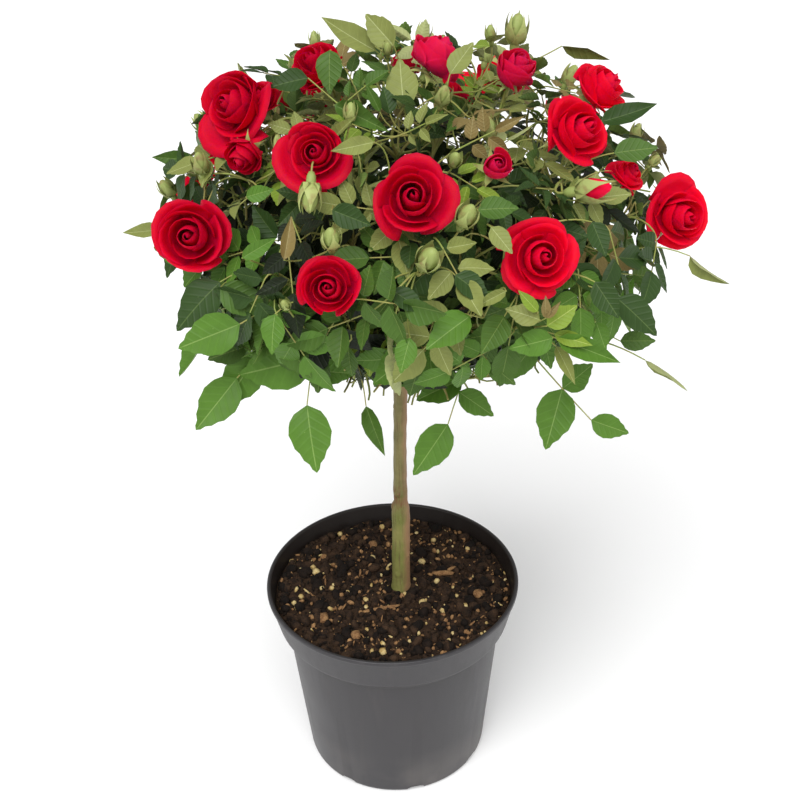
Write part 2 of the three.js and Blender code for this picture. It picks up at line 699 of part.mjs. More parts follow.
// Places spread evenly over the crown's outline from the top down, at a share of its reach
function spreadOver(plan, boughs) {
  const roll = dice(plan.seed);
  const spots = [];
  for (let t = 0; t < plan.count; t += 1) {
    const height = 1 - ((t + 0.5) / plan.count) * (1 - Math.sin(radians(plan.lowestLift)));
    const lift = THREE.MathUtils.radToDeg(Math.asin(height));
    const turn = GOLDEN_TURN * t + roll(-plan.jitter, plan.jitter);
    const reach = crownReach(toward(turn, lift)) * plan.reach * roll(...REACH_SPREAD);
    spots.push(settle({ turn, lift, reach }, boughs));
  }
  return spots;
}

const boughs = planBoughs();
const flowering = (spot, shape) => {
  const facing = toward(spot.faceTurn, spot.faceLift);
  return { ...settle(spot, boughs), facing, shape };
};
const flowers = [
  ...BLOOMS.map((bloom) => flowering(bloom, bloom.half ? HALF_BLOOM : OPEN_BLOOM)),
  ...BUDS.map((bud) => flowering(bud, CLOSED_BUD)),
];
const sprays = SPRAYS.map((spray) => settle(spray, boughs));
const hubs = spreadOver(BRANCHES, boughs);
const knots = SHELLS.flatMap((shell) => spreadOver(shell, boughs));

const stem = stemPath(0);
const roomy = stemPath(GAP);
const stemRoom = limb(roomy.points, roomy.radii, STEM.sides);
const limbs = [new THREE.Line3(stem.points[0], stem.points[stem.points.length - 1])];
boughs.forEach((bough) => limbs.push(new THREE.Line3(bough.line[0], bough.line[bough.line.length - 1])));

const rose = new THREE.Group();
rose.add(part("pot", makePot(), FINISH.pot));
rose.add(part("soil", makeSoil(), FINISH.soil));
rose.add(part("trunk", limb(stem.points, stem.radii, STEM.sides), FINISH.stem));
boughs.forEach((bough, index) => {
  const mass = makeMass(index, boughs, limbs, hubs, knots, flowers, sprays);
  rose.add(part(`bough_${bough.name}`, makeBough(bough, stemRoom), FINISH.bough));
  rose.add(part(`foliage_${bough.name}`, mass, FINISH.foliage));
});

export default rose;
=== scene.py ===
# %% [markdown]
# # A potted standard rose
# A standard rose is a small tree that a grower makes: one bare stem, with the twiggy head of a
# miniature rose grafted on top of it. This lesson dresses the imported solids of such a plant with
# finer meshes. The pot, soil, stem and boughs keep the shape that the solids give them, and each
# mass of foliage grows again from its bough by the rule that made the solid, carried on to finer
# twigs, leaves of five leaflets and blooms with real petals.

# %% Load the solids
import itertools
import math

import bmesh
import bpy
import numpy as np
from mathutils import Matrix, Vector


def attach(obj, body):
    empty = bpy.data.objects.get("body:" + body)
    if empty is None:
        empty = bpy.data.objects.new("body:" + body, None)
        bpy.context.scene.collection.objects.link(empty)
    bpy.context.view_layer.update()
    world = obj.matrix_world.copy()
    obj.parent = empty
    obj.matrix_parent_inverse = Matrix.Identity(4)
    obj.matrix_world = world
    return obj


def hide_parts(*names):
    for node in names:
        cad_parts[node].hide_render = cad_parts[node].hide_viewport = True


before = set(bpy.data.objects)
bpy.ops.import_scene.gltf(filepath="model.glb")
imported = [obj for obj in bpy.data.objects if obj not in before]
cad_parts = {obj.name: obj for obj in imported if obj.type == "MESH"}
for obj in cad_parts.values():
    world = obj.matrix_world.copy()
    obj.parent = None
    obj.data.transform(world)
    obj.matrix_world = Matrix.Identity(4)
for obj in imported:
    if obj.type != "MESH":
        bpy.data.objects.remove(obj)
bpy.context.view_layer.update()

BODY = "root"
MM = 0.001


def add_object(name, data):
    made = bpy.data.objects.new(name, data)
    bpy.context.scene.collection.objects.link(made)
    return made


# %% [markdown]
# ## The camera
# The picture looks down at the plant from a little above its crown. The place, pitch and lens were
# worked out from the pot, whose rim and foot are true circles: only one camera turns them into the
# two ellipses that the picture shows. The camera is made first.

# %% Camera
CAMERA = {"place": (1, -500, 514), "pitch": 31.0, "yaw": 0.6, "roll": -1.46, "lens": 55.3, "sensor": 36}


def camera_axes():
    """The camera's right, up and ahead."""
    pitch, yaw, roll = (math.radians(CAMERA[key]) for key in ("pitch", "yaw", "roll"))
    ahead = Vector((math.sin(yaw) * math.cos(pitch), math.cos(yaw) * math.cos(pitch), -math.sin(pitch)))
    level = Vector((math.cos(yaw), -math.sin(yaw), 0))
    above = level.cross(ahead)
    right = level * math.cos(roll) + above * math.sin(roll)
    return right, above * math.cos(roll) - level * math.sin(roll), ahead


def make_camera():
    data = bpy.data.cameras.new("camera")
    data.lens = CAMERA["lens"]
    data.sensor_width = CAMERA["sensor"]
    data.dof.use_dof = False
    camera = add_object("camera", data)
    right, up, ahead = camera_axes()
    turn = Matrix((right, up, -ahead)).transposed().to_4x4()
    camera.matrix_world = Matrix.Translation(Vector(CAMERA["place"]) * MM) @ turn
    bpy.context.scene.camera = camera
    print("camera", CAMERA["lens"], "mm lens, looking down", CAMERA["pitch"], "degrees")


make_camera()

# %% [markdown]
# ## Places read from the picture
# Some things are known only from where they show in the picture: a leaf that hangs clear of the crown,
# or a pale chip on the soil. Their places could be guessed as sizes, but it is surer to note the spot
# of the picture, counted in pixels from its top left corner, and to follow the camera's line of sight
# through it until it meets the level of the soil, an upright plane or the crown's outline.

# %% Lines of sight
PICTURE = 800
Y_AXIS, Z_AXIS = 1, 2


def sight(spot):
    """The camera's place, and the way from it through a spot of the picture, as long as one step ahead."""
    step = CAMERA["sensor"] / CAMERA["lens"] / PICTURE
    right, up, ahead = (np.array(axis) for axis in camera_axes())
    off = (np.array(spot) - PICTURE / 2) * step
    return np.array(CAMERA["place"], float), ahead + right * off[0] - up * off[1]


def seen_on_plane(spot, axis, value):
    """The place in mm where the line of sight meets the plane on which one axis has a value."""
    eye, way = sight(spot)
    return eye + way * (value - eye[axis]) / way[axis]


def seen_beside(spot, place, nearer):
    """The place that a spot shows as far away as another place, and then so many mm nearer."""
    eye, way = sight(spot)
    ahead = np.array(camera_axes()[2])
    return eye + way * ((place - eye) @ ahead) - ahead * nearer


middle = (PICTURE / 2, PICTURE / 2)
print("the middle of the picture meets the floor at", seen_on_plane(middle, Z_AXIS, 0).round(), "mm")

# %% [markdown]
# ## Sums on sockets
# A finish is a small graph of nodes, and its sums are easier to read as Python. A Wire wraps one
# output socket. Adding or multiplying wires puts a Math node in the tree, and add_node makes any
# other node. The same two tools build the Geometry Nodes trees further down.

# %% Wires and nodes


class Wire:
    def __init__(self, tree, socket):
        self.tree = tree
        self.socket = socket

    def math(self, operation, *values):
        return add_node(self.tree, "ShaderNodeMath", {"operation": operation}, dict(enumerate(values)))

    def __add__(self, other):
        return self.math("ADD", self, other)

    def __sub__(self, other):
        return self.math("SUBTRACT", self, other)

    def __rsub__(self, other):
        return self.math("SUBTRACT", other, self)

    def __mul__(self, other):
        return self.math("MULTIPLY", self, other)

    def __pow__(self, other):
        return self.math("POWER", self, other)

    def __abs__(self):
        return self.math("ABSOLUTE", self)

    __radd__ = __add__
    __rmul__ = __mul__


def connect(tree, socket, value):
    if isinstance(value, Wire):
        tree.links.new(value.socket, socket)
    else:
        socket.default_value = value


def add_node(tree, kind, settings=None, values=None, out=0):
    """Adds a node: its settings first, then what goes into its sockets. Gives one output as a wire."""
    made = tree.nodes.new(kind)
    for key, value in (settings or {}).items():
        setattr(made, key, value)
    for key, value in (values or {}).items():
        connect(tree, made.inputs[key], value)
    return Wire(tree, made.outputs[out])


# %% Finishes
# The Mix node has sockets for numbers, vectors and colours, and these are the ones for colours.
MIX_SHARE, MIX_FIRST, MIX_SECOND, MIX_RESULT = 0, 6, 7, 2


def srgb(red, green, blue):
    """The linear colour of a screen colour given as 0 to 255."""
    shares = (c / 255 for c in (red, green, blue))
    return (*(s / 12.92 if s < 0.04045 else ((s + 0.055) / 1.055) ** 2.4 for s in shares), 1.0)


class Finish:
    """A material on one Principled shader, with short names for the nodes that it uses most."""

    def __init__(self, name, **constants):
        self.material = bpy.data.materials.new(name)
        self.material.use_nodes = True
        self.tree = self.material.node_tree
        self.shader = self.tree.nodes["Principled BSDF"]
        for key, value in constants.items():
            self.shader.inputs[key.replace("_", " ")].default_value = value
        self.place = self.node("ShaderNodeTexCoord", out="Object")

    def node(self, kind, settings=None, values=None, out=0):
        return add_node(self.tree, kind, settings, values, out)

    def noise(self, scale, detail=3, stretch=None):
        """Random cloudiness from 0 to 1. Its scale is in cells for each metre."""
        place = self.place
        if stretch:
            place = self.node("ShaderNodeMapping", values={"Vector": place, "Scale": stretch})
        return self.node("ShaderNodeTexNoise", values={"Vector": place, "Scale": scale, "Detail": detail})

    def axis(self, wire, name):
        """The X, Y or Z of a vector."""
        return self.node("ShaderNodeSeparateXYZ", values={0: wire}, out=name)

    def band(self, wire, low, high, first=0.0, last=1.0):
        """Turns the range from low to high into first to last, and holds it there beyond."""
        values = {0: wire, 1: low, 2: high, 3: first, 4: last}
        return self.node("ShaderNodeMapRange", values=values)

    def mix(self, share, first, second):
        """A colour between two. Either one is a wire, or 0 to 255 for red, green and blue."""
        first, second = (colour if isinstance(colour, Wire) else srgb(*colour) for colour in (first, second))
        values = {MIX_SHARE: share, MIX_FIRST: first, MIX_SECOND: second}
        return self.node("ShaderNodeMix", {"data_type": "RGBA"}, values, out=MIX_RESULT)

    def attribute(self, name, out="Fac"):
        return self.node("ShaderNodeAttribute", {"attribute_name": name}, out=out)

    def colour(self, wire):
        connect(self.tree, self.shader.inputs["Base Color"], wire)

    def roughness(self, wire):
        connect(self.tree, self.shader.inputs["Roughness"], wire)

    def bump(self, height, distance):
        """Raises the surface by a height from 0 to 1 times a distance in metres."""
        normal = self.node("ShaderNodeBump", values={"Height": height, "Distance": distance, "Strength": 1.0})
        connect(self.tree, self.shader.inputs["Normal"], normal)


# %% [markdown]
# ## Meshes
# Every piece is built in millimetres as arrays of corners and lists of faces. One helper turns them
# into a mesh in metres that stands at the origin, and another hands a finished piece over to the body
# that carries it. Most pieces here are round, so their faces run round rings of points from one end
# to the other, and two more helpers give such faces and spin an outline.


def new_mesh(name, points, edges=(), faces=(), smooth=True):
    """A mesh from points in mm and the edges or faces that join them."""
    mesh = bpy.data.meshes.new(name)
    corners = (np.asarray(points, float) * MM).tolist()
    mesh.from_pydata(corners, edges, [list(map(int, face)) for face in faces])
    mesh.polygons.foreach_set("use_smooth", [smooth] * len(mesh.polygons))
    return mesh


def carry(mesh, name, domain, kind, values):
    """Gives each point, face or corner of a mesh a value of its own."""
    made = mesh.attributes.new(name, kind, domain)
    made.data.foreach_set("vector" if kind == "FLOAT2" else "value", np.asarray(values).ravel())


def mesh_object(name, points, faces, finish=None):
    mesh = new_mesh(name, points, faces=faces)
    if finish:
        mesh.materials.append(finish)
    return add_object(name, mesh)


def settle_piece(made, node):
    """Hands a finished piece over: its body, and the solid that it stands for."""
    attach(made, BODY)
    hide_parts(node)
    made.data.calc_loop_triangles()
    print(f"{made.name}: {len(made.data.loop_triangles)} triangles")


def tidy_normals(made):
    """Merges doubles and turns all faces outwards."""
    mesh = bmesh.new()
    mesh.from_mesh(made.data)
    bmesh.ops.remove_doubles(mesh, verts=mesh.verts, dist=1e-6)
    bmesh.ops.recalc_face_normals(mesh, faces=mesh.faces)
    mesh.to_mesh(made.data)
    mesh.free()


def crease(made, degrees):
    made.data.set_sharp_from_angle(angle=math.radians(degrees))


def ring_angles(sides):
    return np.arange(sides) * 2 * math.pi / sides


def ring_faces(rings, sides):
    """The faces round some rings of points, closed by one point before the first and one after the last."""
    faces = []
    following = [(c + 1) % sides for c in range(sides)]
    for first in range(1, 1 + (rings - 1) * sides, sides):
        for c in range(sides):
            a, b = first + c, first + following[c]
            faces.append((a, b, b + sides, a + sides))
    last = 1 + rings * sides
    for c in range(sides):
        faces.append((0, 1 + following[c], 1 + c))
        faces.append((last, last - sides + c, last - sides + following[c]))
    return faces


def turned(outline, sides):
    """The corners and faces of an outline of (radius, height) spun about Z, with its ends on the axis."""
    points = [(0, 0, outline[0][1])]
    for radius, height in outline[1:-1]:
        points += [(radius * math.cos(a), radius * math.sin(a), height) for a in ring_angles(sides)]
    points.append((0, 0, outline[-1][1]))
    return np.array(points), ring_faces(len(outline) - 2, sides)


LUMP_CELLS = 32


def lumps(points, cell, seed):
    """Smooth random heights from -1 to 1 at some points, with lumps about a cell wide."""
    grid = np.random.default_rng(seed).uniform(-1, 1, (LUMP_CELLS, LUMP_CELLS, LUMP_CELLS))
    at = np.asarray(points, float) / cell
    low = np.floor(at).astype(int)
    part = at - low
    part = part * part * (3 - 2 * part)
    total = np.zeros(len(at))
    for corner in itertools.product((0, 1), repeat=3):
        weight = np.prod(np.where(corner, part, 1 - part), axis=1)
        i = (low + corner) % LUMP_CELLS
        total += weight * grid[i[:, 0], i[:, 1], i[:, 2]]
    return total


# %% Directions
UP = np.array([0, 0, 1.0])


def blend(low, high, share):
    return low + (high - low) * share


def unit(vector):
    return vector / np.linalg.norm(vector)


def toward(turn, lift):
    """The direction at a turn from the front and a lift from level, in degrees."""
    t, l = math.radians(turn), math.radians(lift)
    return np.array([math.cos(l) * math.sin(t), -math.cos(l) * math.cos(t), math.sin(l)])


def frame_turn(ahead, face):
    """The quaternion that lays a shape's x axis ahead and its z axis along the face."""
    ahead = Vector(ahead).normalized()
    side = Vector(face).cross(ahead).normalized()
    upward = ahead.cross(side)
    return Matrix((ahead, side, upward)).transposed().to_quaternion()


# %% [markdown]
# ## Two trees of geometry nodes
# Two things repeat on this plant. Twigs and stalks are thin tubes along lines, so one tree lays a
# round tube along every line and takes its thickness from the line's points. Leaflets, blooms, buds
# and crumbs of soil are a few shapes that are set down again and again, so the other tree puts a
# picked shape on every point, turned and scaled by values that the point carries, and gives each
# face the finish that its number asks for. Both end as real geometry, because instances don't export.

# %% Tree helpers


def new_tree(name, sockets):
    """A tree that takes geometry and the inputs named here, with a wire for each of them."""
    tree = bpy.data.node_groups.new(name, "GeometryNodeTree")
    for label, kind in {"Geometry": "Geometry", **sockets}.items():
        tree.interface.new_socket(label, in_out="INPUT", socket_type="NodeSocket" + kind)
    tree.interface.new_socket("Geometry", in_out="OUTPUT", socket_type="NodeSocketGeometry")
    entry = tree.nodes.new("NodeGroupInput")
    return tree, {socket.name: Wire(tree, socket) for socket in entry.outputs if socket.name}


def grow_node(tree, kind, settings=None, **values):
    """Adds a geometry node. A socket's name is written with _ for each blank."""
    values = {key.replace("_", " "): value for key, value in values.items()}
    return add_node(tree, "GeometryNode" + kind, settings, values)


def field(tree, name, kind="FLOAT"):
    """Reads a value that every point or face carries."""
    return grow_node(tree, "InputNamedAttribute", {"data_type": kind}, Name=name)


def finish_tree(tree, wire):
    leave = tree.nodes.new("NodeGroupOutput")
    connect(tree, leave.inputs[0], wire)
    return tree


def run_tree(made, tree, values):
    """Runs a tree on an object once, and keeps what comes out as the object's own plain mesh."""
    modifier = made.modifiers.new(tree.name, "NODES")
    modifier.node_group = tree
    for item in tree.interface.items_tree:
        if item.in_out == "INPUT" and item.name in values:
            modifier[item.identifier] = values[item.name]
    depsgraph = bpy.context.evaluated_depsgraph_get()
    evaluated = made.evaluated_get(depsgraph)
    mesh = bpy.data.meshes.new_from_object(evaluated, preserve_all_data_layers=True, depsgraph=depsgraph)
    made.modifiers.remove(modifier)
    made.data = mesh
    return made


# %% The tube tree
TUBE_SIDES = 6


def tube_tree():
    tree, given = new_tree("tubes", {"Sides": "Int", "Finish": "Material"})
    lines = grow_node(tree, "MeshToCurve", Mesh=given["Geometry"])
    profile = grow_node(tree, "CurvePrimitiveCircle", Resolution=given["Sides"], Radius=1.0)
    sizes = {"Scale": field(tree, "thickness"), "Fill_Caps": True}
    tubes = grow_node(tree, "CurveToMesh", Curve=lines, Profile_Curve=profile, **sizes)
    tubes = grow_node(tree, "SetShadeSmooth", Geometry=tubes, Shade_Smooth=True)
    tubes = grow_node(tree, "RealizeInstances", Geometry=tubes)
    tubes = grow_node(tree, "SetMaterial", Geometry=tubes, Material=given["Finish"])
    return finish_tree(tree, tubes)


TUBES = tube_tree()


def tube_piece(name, lines, finish):
    """Tubes along lines. A line is its points in mm, its radii in mm, and how green it is from 0 to 1."""
    points, radii = (np.concatenate([line[key] for line in lines]) for key in ("points", "radii"))
    counts = [len(line["points"]) for line in lines]
    edges = []
    first = 0
    for count in counts:
        edges += [(first + k, first + k + 1) for k in range(count - 1)]
        first += count
    mesh = new_mesh(name, points, edges)
    carry(mesh, "thickness", "POINT", "FLOAT", radii * MM)
    carry(mesh, "green", "POINT", "FLOAT", np.repeat([line["green"] for line in lines], counts))
    return run_tree(add_object(name, mesh), TUBES, {"Sides": TUBE_SIDES, "Finish": finish})


# %% The planting tree
# The Compare node's sockets for whole numbers, and the angle past which a planted shape has an edge
COMPARE_FIRST, COMPARE_SECOND = 2, 3
PLANTED_CREASE = 75


def planting_tree(name, finishes):
    """Sets a picked shape on each point. A face's finish number is the point's tone plus its own part."""
    tree, given = new_tree(name, {"Shapes": "Collection"})
    picked = {"Collection": given["Shapes"], "Separate_Children": True, "Reset_Children": True}
    placed = {
        "Points": given["Geometry"],
        "Instance": grow_node(tree, "CollectionInfo", {"transform_space": "ORIGINAL"}, **picked),
        "Pick_Instance": True,
        "Instance_Index": field(tree, "shape", "INT"),
        "Rotation": field(tree, "turn", "QUATERNION"),
        "Scale": field(tree, "size"),
    }
    planted = grow_node(tree, "InstanceOnPoints", **placed)
    planted = grow_node(tree, "RealizeInstances", Geometry=planted)
    number = field(tree, "tone", "INT") + field(tree, "part", "INT")
    for k, material in enumerate(finishes):
        settings = {"data_type": "INT", "operation": "EQUAL"}
        chosen = add_node(tree, "FunctionNodeCompare", settings, {COMPARE_FIRST: number, COMPARE_SECOND: k})
        planted = grow_node(tree, "SetMaterial", Geometry=planted, Selection=chosen, Material=material)
    return finish_tree(tree, planted)


def shape_collection(name, shapes, smooth=True):
    """A collection of shapes that a tree picks from by number. It isn't linked, so it never shows.

    A shape has points about one unit across, faces, and values: name -> (domain, type, values).
    """
    made = bpy.data.collections.new(name)
    for k, (points, faces, values) in enumerate(shapes):
        label = f"{name}_{k:02d}"
        mesh = new_mesh(label, np.asarray(points, float) / MM, faces=faces, smooth=smooth)
        for key, row in values.items():
            carry(mesh, key, *row)
        made.objects.link(bpy.data.objects.new(label, mesh))
    return made


def plant(name, spots, tree, shapes):
    """Plants spots, each one a place in mm, a turn, a size in mm, a shape number and a tone number."""
    mesh = new_mesh(name, [spot["place"] for spot in spots])
    carry(mesh, "size", "POINT", "FLOAT", [spot["size"] * MM for spot in spots])
    for key, kind in (("turn", "QUATERNION"), ("shape", "INT"), ("tone", "INT")):
        carry(mesh, key, "POINT", kind, [spot[key] for spot in spots])
    made = run_tree(add_object(name, mesh), tree, {"Shapes": shapes})
    crease(made, PLANTED_CREASE)
    return made


# %% [markdown]
# ## The pot
# Growers use thin blow-moulded pots: a tapered body, a step, a wider band under a rounded lip, and
# channels under the foot so that water runs away. The pot is round, so an outline spun about the
# upright axis gives its shape. The channels are cut by a Boolean, which leaves the small arches that
# show at the foot.

# %% Pot shape
# Radii and heights in mm. The dish is the raised middle of the foot, and the cove is under the band.
POT = {
    "rim": 65.0, "band_foot": 61.0, "neck": 55.8, "foot": 48.4, "dish": 26, "dish_edge": 30,
    "height": 107.0, "band": 19.5, "cove": 4.5, "dish_rise": 0.8, "wall": 1.6, "floor": 5.0,
    "sides": 160, "crease": 40,
}
CHANNELS = {"count": 8, "width": 9.0, "height": 3.0, "inner": 27.0, "turn": 11.0, "arch": 0.6, "steps": 9}


def rounded(corners, steps=5):
    """An outline with each inner corner (radius, height, rounding) turned into a small arc."""
    line = [corners[0][:2]]
    for before, corner, after in zip(corners, corners[1:], corners[2:]):
        spot, size = np.array(corner[:2]), corner[2]
        start = spot + unit(np.array(before[:2]) - spot) * size
        end = spot + unit(np.array(after[:2]) - spot) * size
        for t in np.linspace(0, 1, steps if size > 0.3 else 2):
            line.append(tuple((1 - t) ** 2 * start + 2 * t * (1 - t) * spot + t * t * end))
    line.append(corners[-1][:2])
    return line


def pot_outline():
    """From the middle of the foot, up the outside, over the lip and down the inside."""
    height, wall = POT["height"], POT["wall"]
    band_edge = height - POT["band"]
    neck_edge = band_edge - POT["cove"]
    return rounded([
        (0, POT["dish_rise"], 0), (POT["dish"], POT["dish_rise"], 1), (POT["dish_edge"], 0, 1),
        (POT["foot"] - 0.6, 0, 2.6), (POT["neck"], neck_edge, 1.6),
        (POT["band_foot"] - 0.7, band_edge - 0.5, 1.8), (POT["rim"] - 0.5, height - 2.6, 0.4),
        (POT["rim"] + 0.1, height - 2.2, 0.3), (POT["rim"] + 0.1, height, 0.9),
        (POT["rim"] - wall - 0.3, height, 0.8),
        (POT["band_foot"] - wall, band_edge + 1, 1.5), (POT["neck"] - wall, neck_edge, 1.5),
        (POT["foot"] - wall, POT["floor"], 2), (0, POT["floor"], 0),
    ])


def channel_cutters():
    """One arched bar for each channel, standing out past the foot."""
    half = CHANNELS["width"] / 2
    around = np.linspace(0.12, math.pi - 0.12, CHANNELS["steps"])
    across = half * np.sign(np.cos(around)) * abs(np.cos(around)) ** CHANNELS["arch"]
    up = CHANNELS["height"] * np.sin(around) ** CHANNELS["arch"]
    arch = [(-half, -3.0), (half, -3.0), *zip(across, up)]
    count = len(arch)
    points, faces = [], []
    for k in range(CHANNELS["count"]):
        turn = math.radians(CHANNELS["turn"] + 360 * k / CHANNELS["count"])
        c, s = math.cos(turn), math.sin(turn)
        first = len(points)
        for reach in (CHANNELS["inner"], POT["rim"] + 4):
            points += [(x * c + reach * s, x * s - reach * c, z) for x, z in arch]
        faces.append(range(first, first + count))
        faces.append(range(first + 2 * count - 1, first + count - 1, -1))
        for i in range(count):
            j = (i + 1) % count
            faces.append((first + j, first + i, first + count + i, first + count + j))
    return mesh_object("channel_cutters", points, faces)


def cut(made, cutter):
    """Cuts one object out of another and deletes the cutter."""
    modifier = made.modifiers.new("cut", "BOOLEAN")
    modifier.operation = "DIFFERENCE"
    modifier.solver = "EXACT"
    modifier.object = cutter
    depsgraph = bpy.context.evaluated_depsgraph_get()
    mesh = bpy.data.meshes.new_from_object(made.evaluated_get(depsgraph))
    made.modifiers.clear()
    made.data = mesh
    bpy.data.objects.remove(cutter)


# %% [markdown]
# The plastic is dark grey and half matt. What keeps it from looking painted is a fine moulded grain,
# a paler bloom of dust and lime low on the wall, and faint upright scuffs, so roughness and colour
# both vary a little. Above the soil the inside of the wall is stained brown.

# %% Pot finish
POT_COLOURS = {
    "dark": (45, 43, 46), "pale": (54, 52, 54), "scuff": (74, 71, 71), "dust": (108, 103, 99),
    "stain": (30, 24, 21),
}


def pot_plastic():
    finish = Finish("pot_plastic", Specular_IOR_Level=0.45)
    cloud = finish.noise(28, 4)
    scuffs = finish.noise(160, 3, stretch=(1, 1, 0.08))
    grain = finish.noise(2600, 2)
    height = finish.axis(finish.place, "Z")
    dust = finish.band(height, 0.0, 0.03, 0.5, 0.0) * finish.band(cloud, 0.42, 0.62)
    base = finish.mix(finish.band(cloud, 0.3, 0.7), POT_COLOURS["dark"], POT_COLOURS["pale"])
    base = finish.mix(finish.band(scuffs, 0.56, 0.74, 0, 0.4), base, POT_COLOURS["scuff"])
    base = finish.mix(dust, base, POT_COLOURS["dust"])
    flat = finish.node("ShaderNodeVectorMath", {"operation": "MULTIPLY"}, {0: finish.place, 1: (1, 1, 0)})
    radius = finish.node("ShaderNodeVectorMath", {"operation": "LENGTH"}, {0: flat}, out="Value")
    inside = finish.band(radius - height * 0.2, 0.0422, 0.0428, 1, 0) * finish.band(height, 0.08, 0.09)
    finish.colour(finish.mix(inside, base, POT_COLOURS["stain"]))
    finish.roughness(finish.band(cloud, 0.3, 0.7, 0.4, 0.5) + finish.band(scuffs, 0.5, 0.75, 0, 0.1))
    finish.bump(grain * 0.7 + scuffs * 0.3, 0.00006)
    return finish.material


# %% Make the pot


def make_pot():
    made = mesh_object("grower_pot", *turned(pot_outline(), POT["sides"]), pot_plastic())
    tidy_normals(made)
    cutter = channel_cutters()
    tidy_normals(cutter)
    cut(made, cutter)
    crease(made, POT["crease"])
    settle_piece(made, "pot")


make_pot()

# %% [markdown]
# ## The soil
# Potting soil is dark peat: soft crumbs of every size, with a few pale bits of perlite and wood. The
# ground is a disc raised by three sizes of lumps, and a low mound round the stem. The crumbs that lie
# on it are a few small clods, planted about three thousand times at random sizes and turns, which is
# what Geometry Nodes are good at. Most have twenty faces, because nobody sees more of a grain of soil.

# %% Soil shape
STEM_FOOT = (4.3, 0, 98.6)
SOIL = {
    "level": 98.9, "crumb_tops": 99.3, "bits_rise": 0.9, "mound": 2.6, "mound_width": 9, "edge": 61.3,
    "wall_starts": 57, "wall_width": 5, "wall_drop": 1.2, "skirt": 56, "bottom": 88.0,
    "rings": 64, "sides": 150,
}
# How wide the ground's lumps are, and how high
SOIL_LUMPS = ((13, 0.9), (5, 0.75), (2.2, 0.45))


def soil_height(x, y):
    """The heights of the ground: lumpy, raised a little round the stem, and flatter along the wall."""
    spots = np.stack([x, y, np.zeros_like(x)], axis=1)
    bumps = sum(lumps(spots, cell, 1 + k) * height for k, (cell, height) in enumerate(SOIL_LUMPS))
    edge = np.clip((np.hypot(x, y) - SOIL["wall_starts"]) / SOIL["wall_width"], 0, 1)
    from_stem = np.hypot(x - STEM_FOOT[0], y - STEM_FOOT[1])
    mound = SOIL["mound"] * np.exp(-((from_stem / SOIL["mound_width"]) ** 2))
    return SOIL["level"] + mound + bumps * (1 - 0.5 * edge) - SOIL["wall_drop"] * edge


def ground_at(x, y):
    return float(soil_height(np.array([x]), np.array([y]))[0])


def make_soil(finish):
    angles = ring_angles(SOIL["sides"])
    radii = np.linspace(0, SOIL["edge"], SOIL["rings"] + 1)[1:]
    x = np.outer(radii, np.cos(angles)).ravel()
    y = np.outer(radii, np.sin(angles)).ravel()
    top = np.stack([x, y, soil_height(x, y)], axis=1)
    skirt = [(SOIL["skirt"] * math.cos(a), SOIL["skirt"] * math.sin(a), SOIL["bottom"]) for a in angles]
    points = np.vstack([(0, 0, ground_at(0.0, 0.0)), top, skirt, (0, 0, SOIL["bottom"])])
    made = mesh_object("soil_ground", points, ring_faces(SOIL["rings"] + 1, SOIL["sides"]), finish)
    tidy_normals(made)
    settle_piece(made, "soil")


def clod(seed, stretch, subdivisions=1):
    """A small lumpy clod about one unit across."""
    mesh = bmesh.new()
    bmesh.ops.create_icosphere(mesh, subdivisions=subdivisions, radius=0.5)
    points = np.array([v.co[:] for v in mesh.verts])
    faces = [[v.index for v in f.verts] for f in mesh.faces]
    mesh.free()
    points *= (1 + 0.3 * lumps(points + 3, 0.42, seed))[:, None]
    return points * stretch, faces, {"part": ("FACE", "INT", [0] * len(faces))}


# %% Soil finishes
# name, dark, pale, how much of the pale
SOIL_FINISHES = (
    ("soil_peat", (20, 13, 9), (74, 54, 38), 0.9), ("soil_dark_crumbs", (10, 7, 5), (44, 32, 24), 0.7),
    ("soil_bark_bits", (104, 72, 46), (178, 138, 94), 0.95),
    ("soil_pale_flecks", (166, 134, 72), (224, 206, 154), 0.95),
)
PEAT, DARK, BROWN, PALE = range(4)


def soil_finish(name, dark, pale, share):
    finish = Finish(name, Specular_IOR_Level=0.2)
    cloud = finish.noise(240, 5)
    fine = finish.noise(1500, 3)
    mottled = finish.band(cloud * 0.6 + fine * 0.4, 0.38, 0.66)
    finish.colour(finish.mix(mottled * share, dark, pale))
    finish.roughness(finish.band(fine, 0.3, 0.7, 0.75, 1.0))
    finish.bump(cloud * 0.5 + fine * 0.5, 0.0009)
    return finish.material


# %% Crumbs
# Each kind of crumb: how many, the smallest and the largest, how rare the large ones are, how far they
# stand out as a share of their size, and which shapes and finishes they take
CRUMBS = (2300, 0.9, 3.6, 2.2, 0.12, (0, 4), (PEAT, PEAT, PEAT, DARK, DARK, BROWN))
LARGE_CRUMBS = (420, 2.8, 7.0, 2.0, 0.1, (4, 5), (PEAT, PEAT, DARK, DARK))
FLECKS = (340, 0.9, 4.0, 1.8, 0.3, (0, 4), (BROWN, BROWN, PALE))
CRUMB_SEED = 21
STREWN = {"radius": 60.3, "from_stem": 5.5, "wall": 62.2}
# seed, stretch and subdivisions of each clod, and the numbers of four of them
CLODS = (
    (1, (1, 0.8, 0.7)), (2, (1, 0.9, 0.8)), (3, (1.2, 0.6, 0.5)), (4, (1.7, 0.4, 0.3)),
    (5, (1, 0.85, 0.75), 2), (6, (1.6, 0.2, 0.17), 2),
)
CHIP, SPLINTER, LUMP, TWIG_BIT = 0, 3, 4, 5
